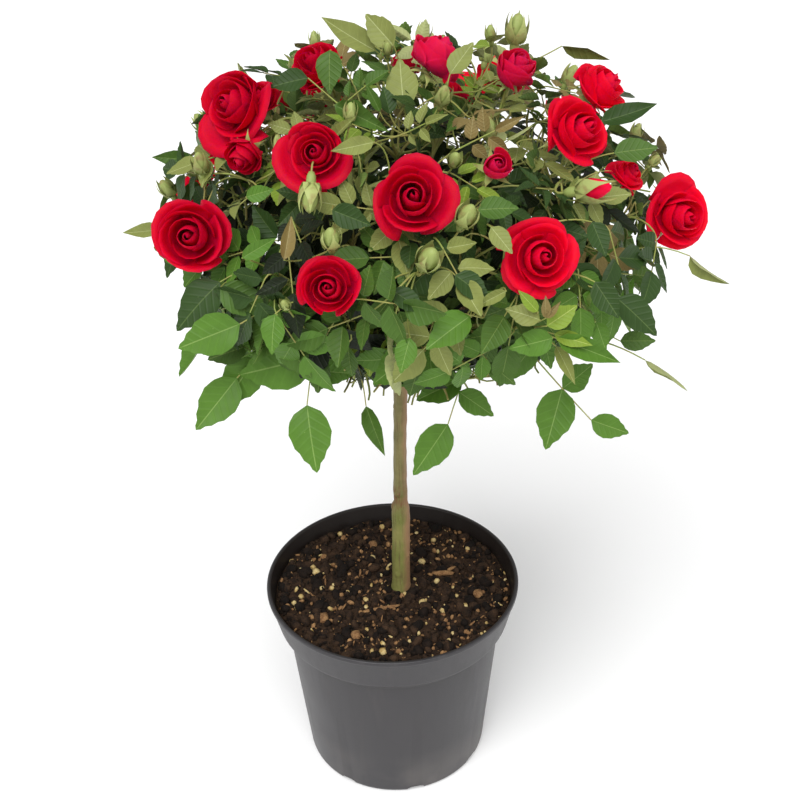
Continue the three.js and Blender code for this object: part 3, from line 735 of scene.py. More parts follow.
# The large bits that the picture shows, and the fallen twig: spot, size, shape, finish, turn
SOIL_BITS = (
    ((316, 572), 6.5, CHIP, PALE, 20), ((356, 636), 6, LUMP, BROWN, 0), ((383, 652), 4.5, LUMP, PALE, 0),
    ((422, 562), 5, CHIP, PALE, 60), ((352, 532), 5, LUMP, PALE, 0), ((340, 534), 4, CHIP, PALE, 0),
    ((443, 575), 9, SPLINTER, BROWN, 80), ((322, 588), 3, LUMP, PALE, 0), ((332, 588), 3, LUMP, PALE, 0),
    ((366, 600), 3.4, LUMP, PALE, 0), ((301, 597), 4, CHIP, PALE, 0), ((464, 540), 4, CHIP, BROWN, 0),
    ((450, 570), 6, SPLINTER, BROWN, 120), ((465, 606), 3.5, LUMP, PALE, 0),
    ((445, 620), 3.5, LUMP, BROWN, 0), ((405, 597), 4, CHIP, PALE, 0),
    ((378, 609), 14, TWIG_BIT, BROWN, 96), ((323, 617), 7, LUMP, BROWN, 0), ((478, 594), 6, LUMP, BROWN, 0),
    ((373, 545), 6, LUMP, BROWN, 0),
)


def random_turn(rng):
    return frame_turn(rng.normal(size=3), rng.normal(size=3))


def strew(rng, count, small, large, rarity, rise, shapes, tones):
    """Spots on the soil, mostly small, clear of the stem and pulled in from the pot's wall."""
    spots = []
    while len(spots) < count:
        radius = STREWN["radius"] * math.sqrt(rng.uniform())
        angle = rng.uniform(0, 2 * math.pi)
        x, y = radius * math.cos(angle), radius * math.sin(angle)
        if math.hypot(x - STEM_FOOT[0], y - STEM_FOOT[1]) < STREWN["from_stem"]:
            continue
        size = small + (large - small) * rng.uniform() ** rarity
        inward = min(1, (STREWN["wall"] - 0.9 * size) / radius)
        x, y = x * inward, y * inward
        spots.append({
            "place": (x, y, ground_at(x, y) + rise * size), "turn": random_turn(rng), "size": size,
            "shape": int(rng.integers(*shapes)), "tone": int(rng.choice(tones)),
        })
    return spots


def seen_bit(spot, size, shape, tone, turn):
    x, y, _ = seen_on_plane(spot, Z_AXIS, SOIL["crumb_tops"])
    place = (x, y, ground_at(x, y) + SOIL["bits_rise"])
    lying = frame_turn(toward(turn, 6), UP)
    return {"place": place, "turn": lying, "size": size, "shape": shape, "tone": tone}


# %% Make the soil


def make_all_soil():
    finishes = [soil_finish(*row) for row in SOIL_FINISHES]
    make_soil(finishes[PEAT])
    rng = np.random.default_rng(CRUMB_SEED)
    crumbs = strew(rng, *CRUMBS) + strew(rng, *LARGE_CRUMBS) + [seen_bit(*row) for row in SOIL_BITS]
    flecks = strew(rng, *FLECKS)
    tree = planting_tree("soil_crumbs", finishes)
    shapes = shape_collection("clods", [clod(*row) for row in CLODS], smooth=False)
    for name, spots in (("soil_crumbs", crumbs), ("soil_flecks", flecks)):
        settle_piece(plant(name, spots, tree, shapes), "soil")


make_all_soil()

# %% [markdown]
# ## The growth rule
# The crown is an oblate head about a centre. Boughs part at its heart, and each one carries the
# foliage of the directions nearest to its own. Places are dealt evenly over the head from the top
# down, each a golden turn on from the last, with a little jitter from seeded dice, and each belongs
# to the nearest bough. The solids were grown by this rule with few large leaves. Here the same
# branches carry more twigs and finer leaves.

# %% Dice and lines
CROWN = {"heart": (7, 0, 248), "centre": (18, 0, 306), "radius": 112, "half_height": 76}
HEART = np.array(CROWN["heart"], float)
CENTRE = np.array(CROWN["centre"], float)
CROWN_SIZE = np.array([CROWN["radius"], CROWN["radius"], CROWN["half_height"]], float)
GOLDEN_TURN = 137.508
# How far a place may leave its share of the reach, and how long a line keeps to its end directions
REACH_JITTER, HOLD = (0.94, 1.04), 0.38
WORD = 0xFFFFFFFF


def dice(seed):
    """Seeded dice that roll the same numbers as those that grew the solids."""
    state = (seed * 2654435761) & WORD

    def roll(low=0.0, high=1.0):
        nonlocal state
        state = (state + 0x6D2B79F5) & WORD
        t = ((state ^ (state >> 15)) * (state | 1)) & WORD
        t ^= (t + (((t ^ (t >> 7)) * (t | 61)) & WORD)) & WORD
        return low + (high - low) * ((t ^ (t >> 14)) & WORD) / (WORD + 1)

    return roll


def roll_three(roll):
    return np.array([roll(-1, 1), roll(-1, 1), roll(-1, 1)])


def crown_reach(direction):
    """How far the crown's outline is from the heart in a direction."""
    step = direction / CROWN_SIZE
    start = (HEART - CENTRE) / CROWN_SIZE
    half, length = start @ step, step @ step
    return (-half + math.sqrt(half * half - length * (start @ start - 1))) / length


def bent(start, bend, finish, steps):
    """Points along a line that sets out towards bend and ends at finish."""
    t = np.linspace(0, 1, steps + 1)[:, None]
    return (1 - t) ** 2 * start + 2 * t * (1 - t) * bend + t * t * finish


def swung(start, leave, arrive, finish, steps):
    """Points along a line that leaves start and arrives at finish in the given directions."""
    t = np.linspace(0, 1, steps + 1)[:, None]
    reach = HOLD * np.linalg.norm(finish - start)
    a, b = start + unit(leave) * reach, finish - unit(arrive) * reach
    return (1 - t) ** 3 * start + 3 * t * (1 - t) ** 2 * a + 3 * t * t * (1 - t) * b + t ** 3 * finish


# %% Boughs
# name, turn from the front, lift of its mass, rise of the bough itself
BOUGH_ROWS = (
    ("front", 2, 46, 30), ("right", 82, 46, 27), ("back_right", 150, 46, 31), ("back_left", 218, 46, 29),
    ("left", 281, 46, 32), ("top", 80, 84, 84),
)
BOUGH = {"length": 34, "radii": (2.7, 2.1), "dip": 6, "top_start": 4.5, "steps": 24, "sides": 16}


def plan_bough(name, turn, lift, rise):
    onward = toward(turn, rise)
    sunk = BOUGH["dip"] * math.cos(math.radians(rise))
    start = HEART + UP * (BOUGH["top_start"] if name == "top" else -sunk)
    bend = HEART + onward * BOUGH["length"] / 2 - UP * sunk / 4
    line = bent(start, bend, HEART + onward * BOUGH["length"], BOUGH["steps"])
    return {"name": name, "axis": toward(turn, lift), "onward": onward, "line": line}


BOUGHS = [plan_bough(*row) for row in BOUGH_ROWS]


def home_of(direction):
    """The number of the mass whose space a direction from the heart lies in."""
    return int(np.argmax([bough["axis"] @ direction for bough in BOUGHS]))


def settle(turn, lift, reach):
    """A place at a turn, lift and reach from the heart, with the mass that it belongs to."""
    out = toward(turn, lift)
    return {"home": home_of(out), "place": HEART + out * reach, "out": out}


def spread_over(count, lowest, reach, jitter, seed):
    """Places spread evenly over the crown from the top down, at a share of its reach."""
    roll = dice(seed)
    spots = []
    for t in range(count):
        height = 1 - ((t + 0.5) / count) * (1 - math.sin(math.radians(lowest)))
        lift = math.degrees(math.asin(height))
        turn = GOLDEN_TURN * t + roll(-jitter, jitter)
        spots.append(settle(turn, lift, crown_reach(toward(turn, lift)) * reach * roll(*REACH_JITTER)))
    return spots


print("boughs:", [bough["name"] for bough in BOUGHS])

# %% [markdown]
# ## The blooms' places
# Each bloom that the picture shows has its own row here: where it sits, as a turn and lift from the
# heart and a reach from it, how wide it is, and which way it looks. The blooms at the back can't be
# seen in the picture, so their rows are a guess, with blooms as wide as those in front.

# %% Places of blooms and buds
# The shapes are numbered in the order in which they are made below: full blooms 0 to 3, a tall and a
# small cup, two buds, a full bloom with loose petals, an open cup, and a bloom with two of them.
TALL_CUP, SMALL_CUP, RIPE_BUD, GREEN_BUD, RAGGED, OPEN_CUP, EARED = range(4, 11)
BLOOM_ROWS = (
    # turn, lift, reach, across, face turn, face lift, shape, spin
    (-50, 38, 131, 29, -6, 24, 1, 40), (-70, 60, 135, 26, -42, 30, RAGGED, 50),
    (-70, 64, 132, 18, -10, 56, 1, 80), (-55, 55, 126, 16, -24, -20, OPEN_CUP, 0),
    (-23, 56, 137, 20, -8, 30, RAGGED, 0), (3, 49, 136, 29.5, 0, 32, 0, 200),
    (28, 37, 135, 29, 8, 25, 2, 120), (-14, 35, 132, 22.5, -4, 30, EARED, 0),
    (80, 28, 137, 31, 22, 16, 0, 300), (59, 53, 138, 28, 36, 32, 2, 20), (88, 53, 143, 25, 66, 46, 1, 60),
    (46, 80, 134, 22, 96, 56, OPEN_CUP, 90), (73, 68, 135, 17, 38, 60, TALL_CUP, 30),
    (26, 53, 134, 12, 10, 36, SMALL_CUP, 0), (-78, 76, 131, 22, -40, 50, 3, 140),
    (68, 42, 134, 16, 60, 50, 2, 70), (127, 36, 137, 30, 127, 30, 0, 0), (160, 38, 133, 32, 165, 33, 1, 50),
    (200, 40, 131, 31, 196, 36, 2, 170), (234, 36, 127, 27, 238, 28, 0, 250),
    (250, 30, 116, 28, 254, 24, 1, 310), (142, 50, 131, 26, 150, 45, 2, 100),
    (216, 46, 128, 29, 222, 42, 0, 40), (174, 60, 124, 15, 180, 64, TALL_CUP, 10),
)
BUD_ROWS = (
    (-21, 49, 136, 9, -10, -60, GREEN_BUD, 0), (-14, 42, 137, 8, 0, 66, GREEN_BUD, 0),
    (5, 39, 137, 10, 20, 50, GREEN_BUD, 0), (14, 45, 137, 9, 30, 56, GREEN_BUD, 0),
    (46, 44, 138, 11, 70, 14, RIPE_BUD, 0), (90, 70, 146, 10, 80, 84, GREEN_BUD, 0),
    (150, 47, 138, 9, 150, 40, RIPE_BUD, 0), (185, 62, 134, 9, 190, 60, GREEN_BUD, 0),
    (250, 46, 128, 9, 250, 45, GREEN_BUD, 0),
)
YOUNG_BUDS = {"count": 64, "lowest": 30, "reach": 1.0, "jitter": 14, "seed": 61}
YOUNG_BUD_SIZES = (4.6, 7.6)
# How far to the side of a line of sight to a bloom a bud or a leaf has to keep, in widths of the bloom
BUD_KEEPS_OFF, LEAF_KEEPS_OFF = 0.62, 0.46


def flower(turn, lift, reach, across, face_turn, face_lift, shape, spin):
    facing = toward(face_turn, face_lift)
    return {**settle(turn, lift, reach), "across": across, "facing": facing, "shape": shape, "spin": spin}


def stands_before(place, bloom, margin):
    """Whether a place hides a bloom that turns its face to the picture's lens."""
    eye = np.array(CAMERA["place"], float)
    way = unit(bloom["place"] - eye)
    if way @ bloom["facing"] > 0:
        return False
    ahead = (place - eye) @ way
    beside = np.linalg.norm(place - eye - way * ahead)
    return ahead < (bloom["place"] - eye) @ way and beside < margin * bloom["across"]


def young_buds():
    """Small green buds, dealt over the upper crown wherever no bloom is near."""
    roll = dice(YOUNG_BUDS["seed"] + 1)
    buds = []
    for spot in spread_over(*YOUNG_BUDS.values()):
        facing = unit(spot["out"] + UP * roll(0.2, 1.2) + 0.5 * toward(roll(0, 360), 0))
        clear = all(
            np.linalg.norm(spot["place"] - bloom["place"]) > 0.75 * bloom["across"] + 3
            and not stands_before(spot["place"], bloom, BUD_KEEPS_OFF)
            for bloom in flowers
        )
        if clear:
            across, spin = roll(*YOUNG_BUD_SIZES), roll(0, 360)
            buds.append({**spot, "across": across, "facing": facing, "shape": GREEN_BUD, "spin": spin})
    return buds


flowers = [flower(*row) for row in BLOOM_ROWS + BUD_ROWS]
flowers += young_buds()
print("blooms:", len(BLOOM_ROWS), "buds:", len(flowers) - len(BLOOM_ROWS))

# %% [markdown]
# ## Stem and boughs
# The stem is a rootstock as thick as a pencil, smooth and green, with brown streaks, old bud scars
# and a step where the first rose was cut away. Its solid gives the size at each height. The mesh
# follows it with rings close enough to carry the scars, the ridges and the shoulder of the step.

# %% Bark shape
STEM = {"foot": STEM_FOOT, "head": (7, 0, 252.4), "sides": 44, "step": 0.55, "wander": 0.5}
# The height above the foot, and the radius there
STEM_COURSES = (
    (0, 5.6), (3, 5.0), (7, 4.75), (14, 4.6), (30, 4.5), (48, 4.55), (52, 4.45), (54, 3.95), (56, 3.45),
    (60, 3.5), (63, 3.75), (66, 3.45), (70, 3.25), (100, 3.25), (120, 3.4), (128, 3.9), (133, 5.2),
    (140, 6.0), (147, 5.4), (152, 3.9), (153.8, 2.2),
)
# height, turn from the front, size, how far it stands out
SCARS = (
    (63.5, -28, 3.4, 1.35), (54, -100, 3.2, 0.6), (24, 60, 2.6, 0.4), (41, -140, 2.4, 0.45),
    (88, 150, 2.4, 0.45), (112, -70, 2.2, 0.4), (12, -30, 2.4, 0.35),
)


def along_rings(line, radii, sides, relief):
    """Rings of points round a line. relief gives how far each point stands out of its ring."""
    across = np.array([1.0, 0, 0]) if abs(unit(line[1] - line[0])[2]) > 0.9 else UP
    angles = ring_angles(sides)[:, None]
    rings = []
    for k in range(len(line)):
        along = unit(line[min(k + 1, len(line) - 1)] - line[max(k - 1, 0)])
        across = unit(across - along * (across @ along))
        rings.append(np.cos(angles) * across + np.sin(angles) * np.cross(along, across))
    outward = np.vstack(rings)
    radius = np.repeat(radii, sides)
    surface = np.repeat(line, sides, axis=0) + outward * radius[:, None]
    return surface + outward * relief(surface, outward, radius)[:, None]


def stem_relief(surface, outward, radius):
    """Fine upright ridges, slow waves and the scars, which stand out and have a groove round them."""
    stretched = surface * (1, 1, 0.16)
    out = lumps(stretched, 1.5, 5) * 0.16 + lumps(stretched, 0.7, 6) * 0.07 + lumps(surface, 4.5, 7) * 0.16
    rise = surface[:, 2] - STEM["foot"][2]
    for height, turn, size, proud in SCARS:
        round_stem = np.arccos(np.clip(outward @ toward(turn, 0), -1, 1)) * radius
        away = np.hypot((rise - height) / size, round_stem / (size * 0.9))
        out += proud * np.exp(-2.2 * away ** 2) - 0.3 * proud * np.exp(-9 * (away - 0.95) ** 2)
    return out * np.clip(rise / 3, 0.3, 1)


def bough_relief(surface, outward, radius):
    return lumps(surface, 1.4, 9) * 0.16 + lumps(surface, 4, 10) * 0.22


def make_limb(name, line, radii, sides, relief, node):
    """A closed limb along a line, in place of its solid."""
    points = np.vstack([line[:1], along_rings(line, radii, sides, relief), line[-1:]])
    made = mesh_object(name, points, ring_faces(len(line), sides), BARK)
    tidy_normals(made)
    settle_piece(made, node)


def make_stem():
    foot, head = np.array(STEM["foot"], float), np.array(STEM["head"], float)
    rises = np.arange(0, head[2] - foot[2], STEM["step"])
    share = rises / (head[2] - foot[2])
    line = foot + (head - foot) * share[:, None]
    for axis, waves, phase in ((0, 9, 0), (1, 7, 1)):
        line[:, axis] += STEM["wander"] * np.sin(share * waves + phase) * share * (1 - share) * 2
    radii = np.interp(rises, *zip(*STEM_COURSES))
    radii = np.convolve(np.pad(radii, 1, mode="edge"), np.ones(3) / 3, "valid")
    make_limb("rose_stem", line, radii, STEM["sides"], stem_relief, "trunk")


# %% [markdown]
# The bark is smooth and olive green. Brown corky streaks run up it, the old graft is browner still,
# one side is flushed with red, and the wood above the graft is duller. Long thin noise makes the
# streaks, and the height above the floor deals out the colours.

# %% Bark finish
BARK_COLOURS = {
    "green": ((112, 116, 57), (138, 134, 77)), "upper": ((110, 106, 60), (137, 126, 79)),
    "streak": (96, 74, 52), "pale": (158, 148, 108), "graft": (112, 64, 46), "flush": (154, 114, 86),
}
GRAFT_HEIGHT = 0.158


def bark_finish():
    finish = Finish("bark", Specular_IOR_Level=0.35)
    streaks = finish.noise(1100, 4, stretch=(1, 1, 0.07))
    cloud = finish.noise(90, 3)
    fine = finish.noise(2600, 3, stretch=(1, 1, 0.35))
    height = finish.axis(finish.place, "Z")
    green = finish.mix(finish.band(cloud, 0.35, 0.65), *BARK_COLOURS["green"])
    upper = finish.mix(finish.band(cloud, 0.35, 0.65), *BARK_COLOURS["upper"])
    base = finish.mix(finish.band(height, 0.148, 0.168), green, upper)
    base = finish.mix(finish.band(streaks, 0.52, 0.7, 0, 0.6), base, BARK_COLOURS["streak"])
    base = finish.mix(finish.band(fine, 0.58, 0.75, 0, 0.4), base, BARK_COLOURS["pale"])
    near = finish.band(abs(height - GRAFT_HEIGHT), 0.003, 0.009, 1, 0)
    base = finish.mix(near * finish.band(streaks + cloud, 0.75, 1.05) * 0.85, base, BARK_COLOURS["graft"])
    across = finish.axis(finish.place, "X")
    flushed = finish.band(across - height * 0.017 + (cloud - 0.5) * 0.004, 0.003, 0.0058) * 0.8
    finish.colour(finish.mix(flushed, base, BARK_COLOURS["flush"]))
    finish.roughness(finish.band(streaks, 0.35, 0.65, 0.48, 0.72))
    finish.bump(streaks * 0.55 + fine * 0.45, 0.00035)
    return finish.material


# %% Make the stem and the boughs
BARK = bark_finish()
make_stem()
for bough in BOUGHS:
    radii = np.linspace(*BOUGH["radii"], BOUGH["steps"] + 1)
    name = bough["name"]
    make_limb("bark_" + name, bough["line"], radii, BOUGH["sides"], bough_relief, "bough_" + name)

# %% [markdown]
# ## Twigs
# Inside each mass a stem carries on from the bough's tip. Branches part from it, those that spread
# widest nearest its foot, and each branch carries finer twigs. Every flower and leaf then goes to the
# nearest wood and grows a stalk that leaves it smoothly. The lines are kept in a list, so that a new
# stalk can look for the nearest one.

# %% Twig lines
# How the wood of a mass grows, in shares of its lines, but stem_ahead in mm and branch_spread in degrees
MASS = {
    "stem_share": 0.5, "stem_ahead": 8, "branch_spread": 66, "roots": (0.2, 0.96), "bow": 0.45,
    "onward": 0.1, "twig_back": 0.3, "twig_rise": 0.3,
}
STEM_STEPS, BRANCH_STEPS, TWIG_STEPS = 12, 10, 7
BRANCH_PLAN = {"count": 34, "lowest": -10, "reach": 0.72, "jitter": 7, "seed": 5}
TWIG_PLAN = {"count": 190, "lowest": -14, "reach": 0.85, "jitter": 8, "seed": 41}
# The radii at the two ends of each kind of line, and how green it is
STEM_WOOD = (2.1, 1.4, 0.35)
BRANCH_WOOD = (1.25, 0.7, 0.5)
TWIG_WOOD = (0.65, 0.42, 0.8)
LEAF_STALK = (0.42, 0.26, 1.0)


def new_line(points, first, last, green):
    return {"points": points, "radii": np.linspace(first, last, len(points)), "green": green}


def nearest_on(lines, place, back=0.0):
    """The spot on some lines that is nearest to a place, and the line's way there.

    back moves the spot towards the line's root, by a share of the line.
    """
    best = None
    for line in lines:
        points = line["points"]
        start, step = points[:-1], points[1:] - points[:-1]
        share = np.clip(((place - start) * step).sum(1) / (step ** 2).sum(1), 0, 1)
        spots = start + step * share[:, None]
        away = np.linalg.norm(spots - place, axis=1)
        k = int(np.argmin(away))
        if best is None or away[k] < best[0]:
            best = (away[k], points, k + share[k])
    _, points, at = best
    at = max(at - back * (len(points) - 1), 0.02)
    k = min(int(at), len(points) - 2)
    step = points[k + 1] - points[k]
    return points[k] + step * (at - k), unit(step)


def mass_wood(index):
    """The stem, branches and twigs of one mass, as lines."""
    onward, line = BOUGHS[index]["onward"], BOUGHS[index]["line"]
    tip = line[-1]
    ahead = unit(tip - line[-2])
    stem_tip = HEART + onward * MASS["stem_share"] * crown_reach(onward)
    bend = tip + ahead * MASS["stem_ahead"]
    stem_line = new_line(bent(tip - ahead, bend, stem_tip, STEM_STEPS), *STEM_WOOD)
    branches, twigs = [], []
    for hub in spread_over(*BRANCH_PLAN.values()):
        if hub["home"] == index:
            spread = math.degrees(math.acos(np.clip(unit(hub["place"] - HEART) @ onward, -1, 1)))
            root = tip + (stem_tip - tip) * np.clip(1 - spread / MASS["branch_spread"], *MASS["roots"])
            root, _ = nearest_on([stem_line], root)
            way = hub["place"] - root
            bend = root + way * MASS["bow"] + onward * MASS["onward"] * np.linalg.norm(way)
            branches.append(new_line(bent(root, bend, hub["place"], BRANCH_STEPS), *BRANCH_WOOD))
    for hub in spread_over(*TWIG_PLAN.values()):
        if hub["home"] == index:
            root, leave = nearest_on(branches, hub["place"], MASS["twig_back"])
            arrive = unit(hub["place"] - CENTRE) + MASS["twig_rise"] * UP
            twigs.append(new_line(swung(root, leave, arrive, hub["place"], TWIG_STEPS), *TWIG_WOOD))
    return [stem_line, *branches, *twigs]


WOOD = [mass_wood(index) for index in range(len(BOUGHS))]
print("lines of wood in each mass:", [len(lines) for lines in WOOD])

# %% [markdown]
# ## Leaves
# A rose leaf is compound: five leaflets on one thin stalk, two pairs and one at the end. A leaflet is
# oval and pointed, with a fine saw edge, a pale rib, and halves that fold up a little from it. It is
# a closed blade of under a hundred faces, paler underneath. The leaves hang like shingles down the
# outline of the crown, and where there is light below they reach out to it on long stalks.

# %% A leaflet's shape
LEAFLET = {
    "rows": (0.0, 0.12, 0.3, 0.5, 0.7, 0.87, 1.0), "width": 0.285, "middle": 0.52, "rib": 0.008,
    "rib_depth": 0.006, "thickness": 0.014, "tooth": 0.011,
}


def half_width(t):
    """Half the leaflet's width at a share of its length: round at the foot, drawn out at the tip."""
    swell = math.sin(math.pi * t ** 0.78)
    return LEAFLET["width"] * max(swell, 0) ** (0.72 if t < 0.42 else 1.12)


def leaflet_shape(fold, droop, wave, teeth, width):
    """One closed leaflet of length 1 along x, with its face up z. Part 0 is its face, part 1 is pale."""
    rows = LEAFLET["rows"]
    last = len(rows) - 1
    points, faces, parts = [], [], []
    known = {}

    def corner(key, t, y, drop=0.0):
        if key not in known:
            known[key] = len(points)
            z = fold * abs(y) - droop * t * t + wave * math.sin(8 * t + 2 * y) * abs(y) * 2 - drop
            points.append((t, y * width, z))
        return known[key]

    def tooth(side, k):
        t = blend(rows[k], rows[k + 1], 0.62)
        return corner(("tooth", side, k), t, side * (half_width(t - 0.02) + LEAFLET["tooth"]))

    def across(side, level, k, under=False):
        """A corner of row k at the margin, the middle or the rib of one half."""
        if k in (0, last):
            return corner(("end", k), rows[k], 0)
        if level == "margin":
            return corner((level, side, k), rows[k], side * half_width(rows[k]))
        share = LEAFLET["middle"] * half_width(rows[k]) if level == "middle" else LEAFLET["rib"]
        drop = (LEAFLET["thickness"] if under else 0) + (LEAFLET["rib_depth"] if level == "rib" else 0)
        return corner((level, side, k, under), rows[k], side * share, drop)

    for k, under, side in itertools.product(range(last), (False, True), (-1, 1)):
        a, b = (across(side, "margin", j) for j in (k, k + 1))
        c, d = (across(side, "middle", j, under) for j in (k + 1, k))
        if teeth and 0 < k < last:
            tip = tooth(side, k)
            loops = [[a, tip, d], [tip, c, d], [tip, b, c]]
        else:
            loops = [[a, b, d], [b, c, d]]
        e, f = (across(side, "rib", j, under) for j in (k + 1, k))
        loops.append([d, c, e, f])
        if side > 0:
            loops.append([f, e, *(across(-1, "rib", j, under) for j in (k + 1, k))])
        for number, loop in enumerate(loops):
            kept = [v for i, v in enumerate(loop) if v != loop[i - 1]]
            if len(set(kept)) > 2:
                faces.append(kept[::-1] if (side > 0) == under else kept)
                rib = side > 0 and number == len(loops) - 1
                parts.append(int(under or rib))
    points = np.array(points)
    uv = points[[v for face in faces for v in face]][:, :2]
    return points, faces, {"part": ("FACE", "INT", parts), "leaf_uv": ("CORNER", "FLOAT2", uv)}


# fold, droop, wave, toothed, width: four plain ones, two without teeth for the inside of the crown,
# and the last two are the narrow ones of the young growth
LEAFLET_SHAPES = [leaflet_shape(*row) for row in (
    (0.16, 0.06, 0.03, True, 1.0), (0.34, 0.16, 0.06, True, 1.06), (0.08, 0.26, 0.08, True, 1.1),
    (0.62, -0.1, 0.04, True, 1.0), (0.2, 0.1, 0.04, False, 1.0), (0.5, 0.18, 0.07, False, 1.0),
    (0.55, 0.22, 0.05, False, 0.6), (0.3, -0.16, 0.06, False, 0.7),
)]
print("faces of one leaflet:", len(LEAFLET_SHAPES[0][1]))

# %% [markdown]
# The leaves' colours have a place: fresh green at the skirt, deep green in the middle, and olive and
# bronze among the young growth on top. Inside the crown the leaves take only near black green and deep
# green, and the near black green, which some leaves of the middle get too, is painted shade. Each leaf
# gets one of seven tones as a plain base colour, and a paler one for its rib and underside. The veins
# are a gentle bump.

# %% Leaf finishes
LEAF_TONES = (
    # name, face, rib and underside
    ("fresh", (80, 118, 38), (116, 146, 72)), ("mid", (70, 100, 36), (104, 128, 62)),
    # the shade tone is near black green: painted shade for the leaves inside the crown and the dark gaps
    # between leaves
    ("deep", (46, 70, 27), (78, 100, 50)), ("shade", (22, 33, 11), (44, 58, 26)),
    ("olive", (128, 136, 72), (164, 172, 114)), ("bronze", (128, 112, 66), (160, 150, 104)),
    ("lime", (122, 146, 50), (168, 182, 96)),
)
FRESH, MID, DEEP, SHADE, OLIVE, BRONZE, LIME = range(0, 14, 2)
VEIN = {"slant": 0.75, "waves": 44, "sharpness": 6}


def leaf_finish(name, colour, rib):
    finish = Finish("leaf_" + name, Specular_IOR_Level=0.22, Roughness=0.5)
    uv = finish.attribute("leaf_uv", out="Vector")
    phase = (finish.axis(uv, "X") - abs(finish.axis(uv, "Y")) * VEIN["slant"]) * VEIN["waves"]
    veins = finish.node("ShaderNodeMath", {"operation": "SINE"}, {0: phase}) * 0.5 + 0.5
    veins = veins ** VEIN["sharpness"]
    cloud = finish.noise(190, 3)
    base = finish.mix(finish.band(cloud, 0.35, 0.65, 0, 0.3), colour, [c * 0.8 for c in colour])
    if not rib:
        base = finish.mix(veins * 0.06, base, [min(255, c * 1.3 + 14) for c in colour])
    finish.colour(base)
    finish.bump(veins * -0.6 + cloud * 0.4, 0.0002)
    return finish.material


LEAF_FINISHES = []
for tone, face_colour, pale_colour in LEAF_TONES:
    LEAF_FINISHES.append(leaf_finish(tone, face_colour, False))
    LEAF_FINISHES.append(leaf_finish(tone + "_pale", pale_colour, True))

# %% Places of the leaves
# A leaflet's length and its own short stalk in mm. stalk and pair_gap are shares of that length.
LEAF = {"length": 22.5, "stalk": 0.34, "pair_gap": 0.55, "side_angle": 64, "stalklet": 1.3}
SHELLS = (
    # count, lowest lift, reach, jitter, seed, size
    (250, -15, 0.96, 6, 51, 0.88), (170, -15, 0.84, 8, 52, 0.88), (110, -16, 0.68, 9, 53, 0.9),
    (60, -14, 0.48, 12, 54, 0.9),
)
# The leaves below the crown that the picture can't show, at the sides and the back
SPRAY_ROWS = (
    # turn, lift, reach, heading, dip, size
    (126, 8, 96, 130, 45, 1.1), (160, 6, 88, 150, 62, 1.2), (205, 7, 84, 200, 55, 1.1),
    (248, 8, 82, 252, 60, 1.15), (180, 1, 74, 190, 74, 1.2), (275, 10, 84, 276, 60, 1.1),
    (100, 9, 98, 100, 55, 1.1), (142, 4, 92, 140, 70, 1.1), (226, 4, 80, 226, 70, 1.1),
    (190, 12, 94, 186, 40, 1.1), (238, 14, 92, 240, 34, 1.1), (112, 14, 104, 116, 30, 1.1),
)
